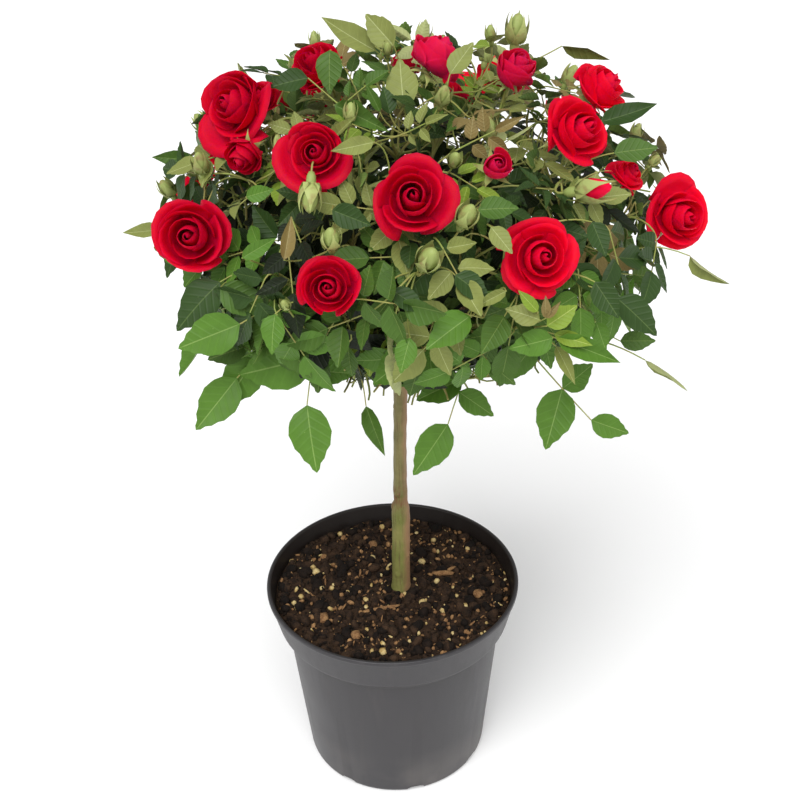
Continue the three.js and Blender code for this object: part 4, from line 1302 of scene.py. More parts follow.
# The leaves that stand clear of the rest in the picture. A row holds the tone, how the blade shows, how
# far back it grows, as a depth in mm or a share of the crown's outline, the spots of the stalk's two
# ends, and for each leaflet its share of the way along the stalk's outer half, its tip's spot, and how
# many mm the tip comes forward.
DEPTH, SHARE = "depth", "share"
WIDE, NARROW, EDGE_ON = "wide", "narrow", "edge on"
CLEAR_LEAVES = {
    "hanging below the crown": (
        (FRESH, WIDE, DEPTH, -66, (262, 345), (237, 378), [(1, (197, 430), 3), (0.4, (222, 408), -2)]),
        (FRESH, WIDE, DEPTH, -78, (300, 340), (307, 405), [
            (0.35, (236, 377), 0), (0.4, (356, 374), 1), (1, (314, 471), 4),
        ]),
        (MID, NARROW, DEPTH, -74, (352, 380), (366, 406), [(1, (383, 456), 2)]),
        (FRESH, WIDE, DEPTH, -72, (478, 370), (448, 424), [
            (0.35, (415, 399), 1), (0.5, (494, 416), 1), (1, (414, 475), 4),
        ]),
        (FRESH, WIDE, DEPTH, -80, (540, 368), (591, 420), [
            (0.5, (545, 449), 3), (1, (629, 434), 1), (0.45, (596, 364), 0),
        ]),
    ),
    "along the skirt": (
        (FRESH, WIDE, SHARE, 0.97, (262, 312), (240, 324), [(1, (179, 349), 3)]),
        (MID, WIDE, SHARE, 0.93, (264, 338), (248, 346), [(1, (207, 359), 1)]),
        (FRESH, WIDE, SHARE, 0.99, (283, 300), (275, 314), [(1, (269, 353), 2)]),
        (MID, WIDE, SHARE, 0.98, (205, 278), (220, 288), [(1, (267, 312), 2)]),
        (DEEP, WIDE, SHARE, 0.95, (236, 262), (220, 282), [(1, (173, 327), 2)]),
        (FRESH, WIDE, SHARE, 1.0, (486, 303), (470, 316), [(1, (426, 347), 4)]),
        (MID, WIDE, SHARE, 0.97, (600, 337), (620, 341), [(1, (655, 341), 2)]),
        (DEEP, WIDE, SHARE, 0.98, (600, 284), (617, 298), [(1, (658, 334), 2)]),
    ),
    "young growth, low on the right": (
        (LIME, WIDE, SHARE, 1.02, (540, 346), (547, 326), [(1, (577, 306), 2)]),
        (OLIVE, WIDE, SHARE, 1.02, (546, 346), (540, 320), [(1, (507, 308), 2)]),
        (LIME, NARROW, SHARE, 1.03, (548, 345), (538, 312), [(1, (516, 290), 3)]),
        (BRONZE, NARROW, SHARE, 1.04, (547, 345), (546, 318), [(1, (543, 295), 4), (0.9, (560, 303), 3)]),
        (FRESH, WIDE, SHARE, 1.02, (538, 340), (553, 338), [(1, (511, 350), 2)]),
        (LIME, NARROW, SHARE, 1.0, (536, 342), (554, 334), [(1, (592, 346), 2)]),
        (FRESH, NARROW, SHARE, 1.01, (534, 342), (556, 338), [(1, (622, 363), 1)]),
        (OLIVE, NARROW, SHARE, 0.99, (544, 338), (556, 346), [(1, (575, 384), 2)]),
        (OLIVE, NARROW, SHARE, 1.02, (516, 288), (506, 291), [(1, (474, 308), 2)]),
        (FRESH, WIDE, SHARE, 0.96, (588, 330), (596, 322), [(1, (605, 350), 2)]),
        (MID, WIDE, SHARE, 0.9, (480, 354), (489, 363), [(1, (515, 384), 2)]),
        (DEEP, WIDE, SHARE, 1.0, (584, 270), (595, 282), [(1, (618, 318), 2)]),
    ),
    "standing out at the sides": (
        (OLIVE, EDGE_ON, SHARE, 0.95, (622, 350), (645, 360), [(1, (692, 384), 0)]),
        (OLIVE, EDGE_ON, SHARE, 1.0, (668, 236), (690, 256), [(1, (724, 291), 0)]),
        (OLIVE, NARROW, DEPTH, -30, (186, 225), (163, 229), [(1, (124, 235), 0)]),
        (MID, NARROW, DEPTH, 0, (216, 165), (196, 160), [(1, (153, 157), 0)]),
        (MID, WIDE, DEPTH, -44, (600, 150), (614, 153), [(1, (658, 147), 1)]),
        (DEEP, NARROW, DEPTH, -20, (586, 128), (600, 122), [(1, (656, 108), 1)]),
        (OLIVE, EDGE_ON, DEPTH, 20, (528, 52), (562, 46), [(1, (611, 53), 0)]),
    ),
    "on top": (
        (OLIVE, NARROW, DEPTH, -6, (412, 62), (376, 51), [(1, (321, 22), 2)]),
        (OLIVE, WIDE, DEPTH, -12, (408, 70), (394, 46), [(1, (364, 13), 0)]),
        (MID, WIDE, DEPTH, -16, (352, 62), (330, 50), [(1, (327, 92), 3)]),
        (MID, NARROW, SHARE, 0.9, (382, 120), (380, 112), [(1, (366, 84), 2)]),
        (DEEP, WIDE, SHARE, 0.86, (392, 122), (390, 114), [(1, (384, 86), 1)]),
        (OLIVE, WIDE, DEPTH, -34, (408, 124), (404, 108), [(1, (398, 55), 0)]),
        (DEEP, WIDE, SHARE, 1.0, (322, 84), (308, 78), [(1, (270, 86), 2)]),
    ),
    "before the rest of the crown": (
        (MID, NARROW, SHARE, 1.06, (322, 98), (334, 105), [(1, (388, 131), 3)]),
        (OLIVE, NARROW, SHARE, 1.08, (392, 138), (374, 142), [(1, (330, 154), 3)]),
        (FRESH, WIDE, SHARE, 1.0, (236, 202), (246, 197), [(1, (274, 190), 2)]),
        (FRESH, NARROW, SHARE, 1.02, (232, 268), (242, 258), [(1, (278, 238), 2)]),
        (BRONZE, NARROW, SHARE, 1.04, (282, 272), (284, 260), [(1, (293, 217), 2)]),
        (DEEP, WIDE, SHARE, 1.0, (320, 204), (332, 210), [(1, (370, 226), 2)]),
        (MID, WIDE, SHARE, 1.02, (468, 206), (478, 210), [(1, (518, 207), 2)]),
        (OLIVE, WIDE, SHARE, 1.03, (486, 218), (491, 227), [(1, (512, 254), 2)]),
        (DEEP, WIDE, SHARE, 1.0, (585, 212), (592, 222), [(1, (606, 256), 2)]),
        (OLIVE, WIDE, SHARE, 1.0, (446, 86), (450, 74), [(1, (473, 42), 1)]),
        (DEEP, WIDE, SHARE, 1.0, (380, 285), (392, 290), [(1, (425, 312), 2)]),
        (DEEP, WIDE, SHARE, 0.98, (445, 268), (455, 275), [(1, (490, 300), 2)]),
        (FRESH, WIDE, SHARE, 1.0, (400, 330), (410, 338), [(1, (400, 372), 2)]),
    ),
}


# %% Where a leaf may lie
# Blooms and buds of this width in mm or more are kept clear of leaves, for so many of their own widths
# behind, before and beside them
KEPT_CLEAR = 8.5
BEHIND, BEFORE, BESIDE = 0.35, 2.0, 0.56
# Above this height a leaf may reach a little past the crown, and below it only by a share of that
SHOULDER, SKIRT_SHARE = 300, 0.35
SKIRT = {"foot": 226, "rise": 0.45}


def shingled(knot):
    """The way straight down the crown's outline at a place, and the way out of it."""
    out = knot - CENTRE
    out = unit(out * (1, 1, CROWN["radius"] / CROWN["half_height"]))
    down = unit(np.array([out[0] * out[2], out[1] * out[2], -(out[0] ** 2 + out[1] ** 2)]))
    return down, out


def hides_bloom(spot):
    """Whether a spot is too near to a bloom, or hides it."""
    for bloom in flowers:
        width = bloom["across"]
        if width < KEPT_CLEAR:
            continue
        off = spot - bloom["place"]
        ahead = off @ bloom["facing"]
        side = math.sqrt(max(0.0, off @ off - ahead * ahead))
        if -BEHIND * width < ahead < BEFORE * width and side < BESIDE * width:
            return True
        if np.linalg.norm(off) < BEFORE * width and stands_before(spot, bloom, LEAF_KEEPS_OFF):
            return True
    return False


def in_reach(spot, reach):
    """Whether a spot keeps to the crown's reach, which is tighter at the skirt than on top."""
    size = CROWN_SIZE + (reach if spot[2] > SHOULDER else reach * SKIRT_SHARE)
    skirt = SKIRT["foot"] + SKIRT["rise"] * math.hypot(spot[0] - HEART[0], spot[1])
    return np.linalg.norm((spot - CENTRE) / size) < 1 and spot[2] > skirt


# %% One leaf
# For each pair of leaflets, how far back on the stalk it sits and its size beside the end leaflet
LEAFLET_PAIRS = ((0.0, 0.86), (LEAF["pair_gap"], 0.7))
# How far a leaflet strays from its place in the leaf: by so many degrees, in its tilt and in its length
STRAY = {"angle": (-8, 8), "tilt": 0.28, "length": (0.93, 1.07)}
# Above each height, how often each tone falls, in the order of the tones. The share of the near black shade
# tone is painted shade.
TONE_SHARES = (
    (334, (0.05, 0.14, 0.16, 0, 0.45, 0.12, 0.08)), (300, (0.1, 0.28, 0.38, 0.1, 0.09, 0.02, 0.03)),
    (262, (0.26, 0.36, 0.28, 0, 0.08, 0, 0.02)), (-math.inf, (0.66, 0.24, 0.1, 0, 0, 0, 0)),
)
# How often an inner leaf takes the near black tone of painted shade, and by how many mm the heights of the
# tones blur
DARKEST, BLUR = 0.6, 12
# How many places a leaf tries. On each new one it moves inwards, strays more and is smaller.
TRIES = 14
EACH_TRY = {"inward": 0.018, "stray": 0.8, "smaller": 0.02}
# How far a leaf's heading strays, how much its face turns up, and how its stalk leaves the wood
LEAF_STRAY, LEAF_RISE = 0.12, 0.3
STALK = {"behind": 8, "onward": 0.3, "steps": 6}


def leaflet_spots(knot, along, face, size, roll, pairs):
    """The places of a leaf's leaflets."""
    side = np.cross(along, face)
    length = LEAF["length"] * size
    rows = [(knot + along * LEAF["stalk"] * length, along, 1.0)]
    for back, share in LEAFLET_PAIRS[:pairs]:
        for sign in (-1, 1):
            angle = math.radians(LEAF["side_angle"] + roll(*STRAY["angle"]))
            ahead = along * math.cos(angle) + side * sign * math.sin(angle)
            rows.append((knot - along * back * length + ahead * LEAF["stalklet"], ahead, share))
    spots = []
    for place, ahead, share in rows:
        tilted = unit(face + STRAY["tilt"] * roll_three(roll))
        blade_length = length * share * roll(*STRAY["length"])
        spots.append({"place": place, "ahead": ahead, "face": tilted, "size": blade_length})
    return spots


def dealt_tone(knot, roll, shell):
    """Deals a leaf its tone by where it grows. The inner shells take only the shade and deep tones, as
    painted shade.
    """
    chance = roll()
    if shell > 1:
        return SHADE if chance < DARKEST else DEEP
    height = knot[2] + roll(-BLUR, BLUR)
    share = np.cumsum(next(shares for lowest, shares in TONE_SHARES if height >= lowest))
    return 2 * int(np.searchsorted(share, chance * share[-1]))


def suits(spots, reach):
    """Whether no leaflet hides a bloom or leaves the crown's reach."""
    for spot in spots:
        middle = spot["place"] + spot["ahead"] * spot["size"] * 0.55
        tip = spot["place"] + spot["ahead"] * spot["size"]
        if hides_bloom(middle) or hides_bloom(tip) or (reach and not in_reach(tip, reach)):
            return False
    return True


def leaf_stalk(knot, along, size, pairs, wood):
    """The line from the nearest wood to the leaf's end, through the knots of its pairs."""
    length = LEAF["length"] * size
    base = knot - along * LEAF["pair_gap"] * length * (pairs - 1)
    end = knot + along * LEAF["stalk"] * length
    root, leave = nearest_on(wood, base - along * STALK["behind"])
    way = (base - root) / max(np.linalg.norm(base - root), 1)
    stalk = swung(root, leave + STALK["onward"] * way, along, base, STALK["steps"])
    onward = np.linspace(base, end, 4)[1:] if pairs > 1 else end
    return new_line(np.vstack([stalk, onward]), *LEAF_STALK)


def grow_leaf(item, roll, wood):
    """A leaf near its place, moved and turned a little on each try until it suits."""
    for t in range(TRIES):
        stray = roll_three(roll)
        inwards = (CENTRE - item["place"]) * EACH_TRY["inward"] * t
        knot = item["place"] + inwards + stray * EACH_TRY["stray"] * t
        heading, out = item["heading"](knot, roll)
        along = unit(heading + LEAF_STRAY * stray)
        face = out + UP * LEAF_RISE + item["flutter"] * roll_three(roll)
        face = unit(face - along * (face @ along))
        size = item["size"] * (1 - EACH_TRY["smaller"] * t)
        spots = leaflet_spots(knot, along, face, size, roll, item["pairs"])
        if suits(spots, item["reach"]):
            return spots, leaf_stalk(knot, along, size, item["pairs"], wood)
    return [], None


# %% Leaves of every mass
# The ranges of leaflet shapes that a leaf takes its own from: plain, in the shade, and young
PLAIN_SHAPES, SHADE_SHAPES, YOUNG_SHAPES = (0, 4), (4, 6), (1, 8)
# Young growth starts at one height and is all there is so many mm higher up
YOUNG_FROM, YOUNG_OVER = 305, 60
# How far a leaf may reach past the crown, how much it flutters, how far it swings and how it stands out:
# the value low down, and what the young growth adds to it
REACH, FLUTTER, SWING, OUTWARD = (8, 12), (0.5, 0.3), (80, 60), (0.2, 0.4)
# How much smaller young leaves are and how often they are narrow, and a loose leaf's flutter and chance
YOUNG_SMALLER, YOUNG_NARROW = 0.4, 0.8
LOOSE_FLUTTER, LOOSE_CHANCE = 1.6, 0.12
# The ranges of a leaf's size beside that of its shell, and of how far its heading strays outwards
LEAF_SIZES, OUTWARD_STRAY = (0.8, 1.12), (-0.15, 0.5)


def loose_heading(swing, outward):
    """A heading that swings by so many degrees either way from straight down the crown's outline."""
    def heading(knot, roll):
        down, out = shingled(knot)
        side = np.cross(down, out)
        angle = math.radians(roll(-swing, swing))
        way = down * math.cos(angle) + side * math.sin(angle)
        return way + out * (outward + roll(*OUTWARD_STRAY)), out
    return heading


def shell_items(index):
    """The leaves of one mass: smaller, looser and more upright the higher they grow."""
    roll = dice(300 + index)
    items = []
    for shell, (*plan, size) in enumerate(SHELLS):
        for spot in spread_over(*plan):
            if spot["home"] != index:
                continue
            young = float(np.clip((spot["place"][2] - YOUNG_FROM) / YOUNG_OVER, 0, 1))
            ranges = (REACH, FLUTTER, SWING, OUTWARD)
            reach, flutter, swing, outward = (low + more * young for low, more in ranges)
            item = {"place": spot["place"], "shell": shell, "pairs": 2, "reach": reach}
            item["size"] = size * (1 - YOUNG_SMALLER * young) * roll(*LEAF_SIZES)
            item["flutter"] = LOOSE_FLUTTER if roll() < LOOSE_CHANCE else flutter
            if shell > 1:
                item["shapes"] = SHADE_SHAPES
            else:
                item["shapes"] = YOUNG_SHAPES if roll() < young * YOUNG_NARROW else PLAIN_SHAPES
            item["heading"] = loose_heading(swing, outward)
            items.append(item)
    return items


def spray_items(index):
    """Leaves that hang below the crown on long stalks, at the sides and the back."""
    items = []
    for turn, lift, reach, heading, dip, size in SPRAY_ROWS:
        spot = settle(turn, lift, reach)
        if spot["home"] == index:
            ahead, face = toward(heading, -dip), toward(turn, 38)
            items.append({
                "place": spot["place"], "shell": 0, "pairs": 1, "reach": 0, "size": size, "flutter": 0.12,
                "shapes": PLAIN_SHAPES, "tone": FRESH,
                "heading": lambda knot, roll, ahead=ahead, face=face: (ahead, face),
            })
    return items


def seen_on_crown(spot, share):
    """The place where the line of sight meets a share of the crown's outline, or passes nearest to it."""
    eye, way = sight(spot)
    step = way / CROWN_SIZE / share
    start = (eye - CENTRE) / CROWN_SIZE / share
    half = start @ step / (step @ step)
    inside = half * half - (start @ start - 1) / (step @ step)
    return eye - way * (half + math.sqrt(max(0.0, inside)))


# The leaves that the picture shows apart: how far inwards their stalks set out, the ranges of turn and
# lift that their faces take, and how much of that a blade seen edge on keeps
CLEAR_INWARD, CLEAR_STEPS = 0.12, 8
CLEAR_TURN, CLEAR_LIFT, EDGE_FACE = (-24, 24), (18, 44), 0.08


def clear_leaves(index):
    """The leaflets and stalks of the leaves that the picture shows apart from the rest."""
    leaflets, stalks = [], []
    roll = dice(500 + index)
    for tone, build, kind, value, first, last, blades in itertools.chain(*CLEAR_LEAVES.values()):
        start, finish = (
            seen_on_plane(end, Y_AXIS, value) if kind == DEPTH else seen_on_crown(end, value)
            for end in (first, last)
        )
        start += (CENTRE - start) * CLEAR_INWARD
        if home_of(unit(start - HEART)) != index:
            continue
        stalk = bent(nearest_on(WOOD[index], start)[0], start, finish, CLEAR_STEPS)
        stalks.append(new_line(stalk, *LEAF_STALK))
        for share, tip, nearer in blades:
            along = 0.5 + 0.5 * share
            base = stalk[round(CLEAR_STEPS * along)]
            ahead = seen_beside(tip, blend(start, finish, along), nearer) - base
            face = toward(roll(*CLEAR_TURN), roll(*CLEAR_LIFT))
            if build == EDGE_ON:
                face = unit(np.cross(unit(ahead), face) + EDGE_FACE * face)
            leaflets.append({
                "place": base, "size": np.linalg.norm(ahead), "tone": tone, "turn": frame_turn(ahead, face),
                "shape": int(roll(0, 3) if build == WIDE else roll(6, 8)),
            })
    return leaflets, stalks


def grow_mass(index):
    """The leaflets and the stalks of one mass."""
    roll = dice(900 + index)
    leaflets, stalks = clear_leaves(index)
    for item in spray_items(index) + shell_items(index):
        spots, stalk = grow_leaf(item, roll, WOOD[index])
        if not spots:
            continue
        dealt = dealt_tone(item["place"], roll, item["shell"])
        for spot in spots:
            spot["turn"] = frame_turn(spot["ahead"], spot["face"])
            spot["shape"] = int(roll(*item["shapes"]))
            spot["tone"] = item.get("tone", dealt)
        leaflets += spots
        stalks.append(stalk)
    return leaflets, stalks


GROWN = [grow_mass(index) for index in range(len(BOUGHS))]
print("leaflets in each mass:", [len(leaflets) for leaflets, _ in GROWN])

# %% Plant the leaflets
LEAF_TREE = planting_tree("leaves", LEAF_FINISHES)
LEAF_SHAPES = shape_collection("leaflets", LEAFLET_SHAPES)
for bough, (leaflets, _) in zip(BOUGHS, GROWN):
    made = plant("leaves_" + bough["name"], leaflets, LEAF_TREE, LEAF_SHAPES)
    settle_piece(made, "foliage_" + bough["name"])

# %% [markdown]
# ## Blooms
# A double rose is a spiral. Each petal starts a golden turn on from the last, the inner ones are short,
# wrap far round and lean together, and the outer ones are wide, open outwards and roll back at the
# lip. So one rule makes them all: a petal's rank from the middle, from 0 to 1, gives its length, its
# width and the direction that it takes at its base, its middle and its lip. An openness scales those
# directions, and turns the same rule into a cup or an opening bud.

# %% A petal's shape
PETAL_ROWS, PETAL_COLUMNS = 9, 13
PETAL_THICKNESS, SEPAL_THICKNESS = 0.022, 0.03


def closed_sheet(grid, thickness):
    """A closed sheet from a grid of points, as thick as given in the middle and sharp at its margin."""
    rows, columns = grid.shape[:2]
    normal = np.cross(np.gradient(grid, axis=1), np.gradient(grid, axis=0))
    normal /= np.maximum(np.linalg.norm(normal, axis=2, keepdims=True), 1e-9)
    inside = np.zeros((rows, columns), bool)
    inside[1:-1, 1:-1] = True
    half = normal * inside[:, :, None] * thickness / 2
    points = np.vstack([(grid + half).reshape(-1, 3), (grid - half)[inside]])
    over = np.arange(rows * columns).reshape(rows, columns)
    under = over.copy()
    under[inside] = rows * columns + np.arange(inside.sum())
    faces = []
    for r, c in itertools.product(range(rows - 1), range(columns - 1)):
        faces.append((over[r, c], over[r, c + 1], over[r + 1, c + 1], over[r + 1, c]))
        faces.append((under[r, c], under[r + 1, c], under[r + 1, c + 1], under[r, c + 1]))
    return points, faces


def petal_outline(rank, openness, steps=40):
    """A petal's side view from foot to lip: how far it is from the axis, and how high."""
    belly = blend(0.08, 0.6, rank ** 0.75)
    flare = blend(-0.12, 0.3, rank ** 2.2)
    lip = max(0.015, belly + (flare if flare < 0 else flare * openness) - 0.05 * (1 - openness))
    height = 0.5 - 0.22 * rank - 0.34 * rank ** 3 + 0.42 * rank * (1 - openness)
    corners = [(0.04 + 0.08 * rank, -0.5), (belly * 1.25, -0.42), (belly * 1.16, height - 0.3), (lip, height)]
    t = np.linspace(0, 1, steps)[:, None]
    a, b, c, d = np.array(corners)
    line = (1 - t) ** 3 * a + 3 * t * (1 - t) ** 2 * b + 3 * t * t * (1 - t) * c + t ** 3 * d
    curl = np.maximum(0, t[:, 0] - 0.7) / 0.3
    rolled = blend(0.16, 1, rank) * openness
    line[:, 0] += 0.08 * rolled * curl ** 1.6
    line[:, 1] -= 0.16 * rolled * curl ** 2.2
    return line[:, 0], line[:, 1]


def petal(rank, turn, openness, rng):
    """One petal of a bloom of radius 1 that looks up z."""
    out, rise = petal_outline(rank, openness)
    fine = np.linspace(0, 1, len(out))
    wrap = math.radians(blend(116, 62, rank ** 0.7)) * rng.uniform(0.88, 1.14)
    tuck = blend(0.24, 0.09, rank)
    size = rng.uniform(0.95, 1.06)
    rise = rise + rng.uniform(-0.03, 0.03)
    wobble = rng.uniform(-1, 1, 5)
    rows = np.linspace(0, 1, PETAL_ROWS) ** 0.75
    columns = np.sin(np.linspace(-1, 1, PETAL_COLUMNS) * math.pi / 2)
    grid = np.zeros((PETAL_ROWS, PETAL_COLUMNS, 3))
    for c, across in enumerate(columns):
        tip = math.exp(-((across / 0.25) ** 2))
        lobe = 0.56 + 0.44 * math.sqrt(1 - abs(across) ** 2.6) + 0.03 * tip * rank
        lobe += 0.03 * math.sin(4.5 * across + 3 * wobble[0]) * rank
        for r, up in enumerate(rows):
            s = min(up * lobe, 1)
            width = blend(0.56, 1, math.sin(min(up * 1.3, 1) * math.pi / 2))
            angle = turn + across * wrap * width
            rolled = rank ** 2 * openness * max(0.0, up - 0.5) * abs(across) ** 2.5 * 0.5
            height = np.interp(s, fine, rise)
            height -= rolled + 0.05 * rank * up * math.sin(3 * across + 5 * wobble[1])
            radius = np.interp(s, fine, out) * size * (1 + tuck * across * up)
            radius += 0.05 * rank * up * math.sin(3.2 * across + 5 * wobble[2]) + rolled * 0.4
            grid[r, c] = (radius * math.cos(angle), radius * math.sin(angle), height)
    return closed_sheet(grid, PETAL_THICKNESS)


# %% Sepals, buds and whole blooms
PETAL, GREEN = 0, 1
FOOT = np.array([0, 0, -0.5])
# The ranks of a bloom's petals: a tight heart, a cup round it, and the wide guard petals outside
HEART_RANKS = (0.0, 0.06, 0.13, 0.2, 0.28)
CUP_RANKS = (0.37, 0.46, 0.55, 0.64)
GUARD_RANKS = (0.74, 0.8, 0.86, 0.91, 0.95, 0.99)
# The radii and heights of the green parts under a bloom and of a bud, which is 1 unit in radius too
CALYX = ((0, -1.0), (0.1, -0.98), (0.16, -0.88), (0.15, -0.76), (0.2, -0.66), (0.16, -0.57), (0, -0.55))
BUD_BODY = ((0, -0.9), (0.3, -0.82), (0.66, -0.4), (0.78, 0.1), (0.6, 0.8), (0.3, 1.3), (0, 1.5))
BUD_HIP = ((0, -1.9), (0.22, -1.84), (0.38, -1.5), (0.4, -1.2), (0.42, -0.9), (0.46, -0.7), (0, -0.6))
# Where sepals start, their length and width, their lean in degrees at foot and tip, rows and columns
OPEN_SEPALS = ((0.17, -0.64), 0.8, 0.13, (96, 150), (7, 3))
CUP_SEPALS = ((0.17, -0.64), 1.5, 0.24, (96, 20), (7, 3))
RIPE_SEPALS = ((0.4, -0.95), 2.8, 0.56, (38, -20), (8, 5))
GREEN_SEPALS = ((0.4, -0.95), 2.7, 0.56, (38, -34), (8, 5))


def sepal(turn, start, length, width, leans, size):
    """One pointed sepal that leaves the calyx at a turn and bends from one lean to another."""
    rows, columns = size
    grid = np.zeros((rows, columns, 3))
    radius, height = start
    step = length / (rows - 1)
    for r in range(rows):
        t = r / (rows - 1)
        lean = math.radians(blend(*leans, t))
        half = width * (1 - t) ** 0.75 * (0.6 + 0.8 * math.sin(math.pi * min(t + 0.25, 1)))
        for c, off in enumerate(np.linspace(-1, 1, columns)):
            side = off * max(half, 0.004)
            inner = radius - 0.18 * half * off * off
            x = inner * math.cos(turn) - side * math.sin(turn)
            y = inner * math.sin(turn) + side * math.cos(turn)
            grid[r, c] = (x, y, height)
        radius += math.sin(lean) * step
        height += math.cos(lean) * step
    return closed_sheet(grid[:, ::-1], SEPAL_THICKNESS)


def five_sepals(first_turn, blush, sizes):
    return [(*sepal(math.radians(72 * k + first_turn), *sizes), GREEN, blush) for k in range(5)]


def joined(parts):
    """One shape from several: each is points, faces, its part number and its blush from 0 to 1."""
    points, faces, numbers, blush = [], [], [], []
    first = 0
    for corners, loops, part, tint in parts:
        points.append(corners)
        faces += [tuple(int(i) + first for i in loop) for loop in loops]
        numbers += [part] * len(loops)
        blush.append(np.broadcast_to(tint, (len(corners),)))
        first += len(corners)
    values = {"part": ("FACE", "INT", numbers), "blush": ("POINT", "FLOAT", np.concatenate(blush))}
    return np.vstack(points), faces, values


def foot_to_lip(corners):
    """How far each corner of a petal is from its foot to its lip, from 0 to 1."""
    away = np.linalg.norm(corners - FOOT, axis=1)
    return (away - away.min()) / (away.max() - away.min())


def bloom_shape(seed, openness, stretch=1.0, ranks=HEART_RANKS + CUP_RANKS + GUARD_RANKS, loose=()):
    """A whole bloom. loose holds the turn, lean and size of petals that stand away from the rest."""
    rng = np.random.default_rng(seed)
    petals = []
    for k, rank in enumerate(ranks):
        turn = math.radians(GOLDEN_TURN * k + rng.uniform(-20, 20))
        spread = rng.uniform(0.82, 1.16) if rank > 0.7 else rng.uniform(0.92, 1.07)
        corners, loops = petal(rank, turn, openness * spread, rng)
        # A corner's blush is low at the foot and lower in the heart, which gives the bluer, darker foot
        # colour there: partly painted shade.
        tint = foot_to_lip(corners) ** 1.1 * blend(0.6, 1, rank ** 0.7)
        nod = rank * math.radians(rng.uniform(-11, 11))
        lean = np.array([math.cos(turn + 1.2), math.sin(turn + 1.2)]) * math.tan(nod)
        corners = corners + np.outer(corners[:, :2] @ lean, UP)
        petals.append((corners - FOOT, loops, PETAL, tint))
    wide = np.percentile(np.concatenate([np.hypot(*corners[:, :2].T) for corners, *_ in petals]), 99)
    parts = [(corners / wide * (1, 1, stretch) + FOOT, *rest) for corners, *rest in petals]
    for turn, lean, size in loose:
        corners, loops = petal(0.9, math.radians(turn), lean, rng)
        parts.append(((corners - FOOT) * size + FOOT, loops, PETAL, foot_to_lip(corners)))
    parts.append((*turned(CALYX, 8), GREEN, 0.3))
    return joined(parts + five_sepals(20, 0.5, OPEN_SEPALS if openness > 0.4 else CUP_SEPALS))


def bud_shape(streak, sepals):
    """A closed bud: a pointed case in five sepals. A ripe one shows a red streak between them."""
    parts = [(*turned(BUD_BODY, 10), streak, 0.35), (*turned(BUD_HIP, 8), GREEN, 0.25)]
    return joined(parts + five_sepals(0, 0.6, sepals))


BLOOM_SHAPES = shape_collection("bloom_shapes", [
    bloom_shape(31, 1.0), bloom_shape(32, 0.92), bloom_shape(33, 0.97), bloom_shape(34, 0.74, 1.1),
    bloom_shape(35, 0.46, 1.15), bloom_shape(36, 0.34, 0.9, HEART_RANKS + CUP_RANKS),
    bud_shape(PETAL, RIPE_SEPALS), bud_shape(GREEN, GREEN_SEPALS),
    bloom_shape(37, 0.78, 1.0, loose=((214, 1.15, 1.8), (-52, 1.2, 1.6), (82, 0.7, 1.45))),
    bloom_shape(38, 0.58, 1.05), bloom_shape(39, 0.72, 1.0, loose=((42, 0.95, 1.25), (138, 0.95, 1.25))),
])

# %% [markdown]
# Petals are velvet: a deep saturated red with almost no shine, and light goes a little way into them.
# They are a bluer, slightly darker red at the foot than at the lip, and more so in the heart: partly the
# petals' own colour and partly painted shade in the folds. The blush that each corner carries tells the
# two apart. Whole blooms differ too: those on the plant's right are a brighter red, and the young cups
# there are pinker. The calyx and the sepals are green with a hint of brown.

# %% Bloom finishes
# name, colour at the foot, which is partly painted shade, and colour at the lip
PETAL_FINISHES = (
    ("petal_red", (196, 4, 56), (202, 0, 36)), ("petal_bright", (222, 6, 62), (232, 2, 38)),
    ("petal_pink", (214, 14, 80), (222, 18, 66)),
)
RED, BRIGHT, PINK = range(0, 6, 2)
SEPAL_COLOURS = {"pale": (140, 156, 84), "blush": (168, 178, 108), "brown": (136, 104, 70)}
# How far to the plant's right, in mm, the pinker cups and the brighter blooms start
PINK_FROM, BRIGHT_FROM = 15, 40


def petal_finish(name, foot, lip):
    finish = Finish(name, Specular_IOR_Level=0.1, Subsurface_Weight=0.45, Subsurface_Scale=0.004)
    cloud = finish.noise(420, 3)
    veins = finish.noise(1400, 2, stretch=(1, 1, 0.4))
    # Where the blush is low the foot colour shows: partly the petal's own tint and partly painted shade.
    base = finish.mix(finish.band(finish.attribute("blush"), 0.1, 0.85), foot, lip)
    finish.colour(finish.mix(finish.band(cloud, 0.4, 0.7, 0, 0.35), base, foot))
    finish.roughness(finish.band(cloud, 0.3, 0.7, 0.5, 0.65))
    finish.bump(cloud * 0.6 + veins * 0.4, 0.00022)
    return finish.material


def sepal_finish():
    finish = Finish("sepal_green", Specular_IOR_Level=0.3)
    cloud = finish.noise(260, 3)
    blush = finish.band(finish.attribute("blush"), 0.2, 0.7)
    base = finish.mix(blush, SEPAL_COLOURS["pale"], SEPAL_COLOURS["blush"])
    finish.colour(finish.mix(finish.band(cloud, 0.5, 0.72, 0, 0.7), base, SEPAL_COLOURS["brown"]))
    finish.roughness(finish.band(cloud, 0.3, 0.7, 0.45, 0.6))
    finish.bump(cloud, 0.0002)
    return finish.material


def petal_tone(bloom):
    x = bloom["place"][0]
    if bloom["shape"] in (TALL_CUP, SMALL_CUP, OPEN_CUP) and x > PINK_FROM:
        return PINK
    return BRIGHT if x > BRIGHT_FROM else RED


# %% Plant the blooms
SEPAL = sepal_finish()
BLOOM_FINISHES = [finish for row in PETAL_FINISHES for finish in (petal_finish(*row), SEPAL)]
BLOOM_TREE = planting_tree("blooms", BLOOM_FINISHES)


def bloom_spot(bloom):
    level = unit(np.cross(UP, bloom["facing"]))
    spin = math.radians(bloom["spin"])
    ahead = level * math.cos(spin) + np.cross(bloom["facing"], level) * math.sin(spin)
    return {
        "place": bloom["place"], "turn": frame_turn(ahead, bloom["facing"]), "size": bloom["across"] / 2,
        "shape": bloom["shape"], "tone": petal_tone(bloom),
    }


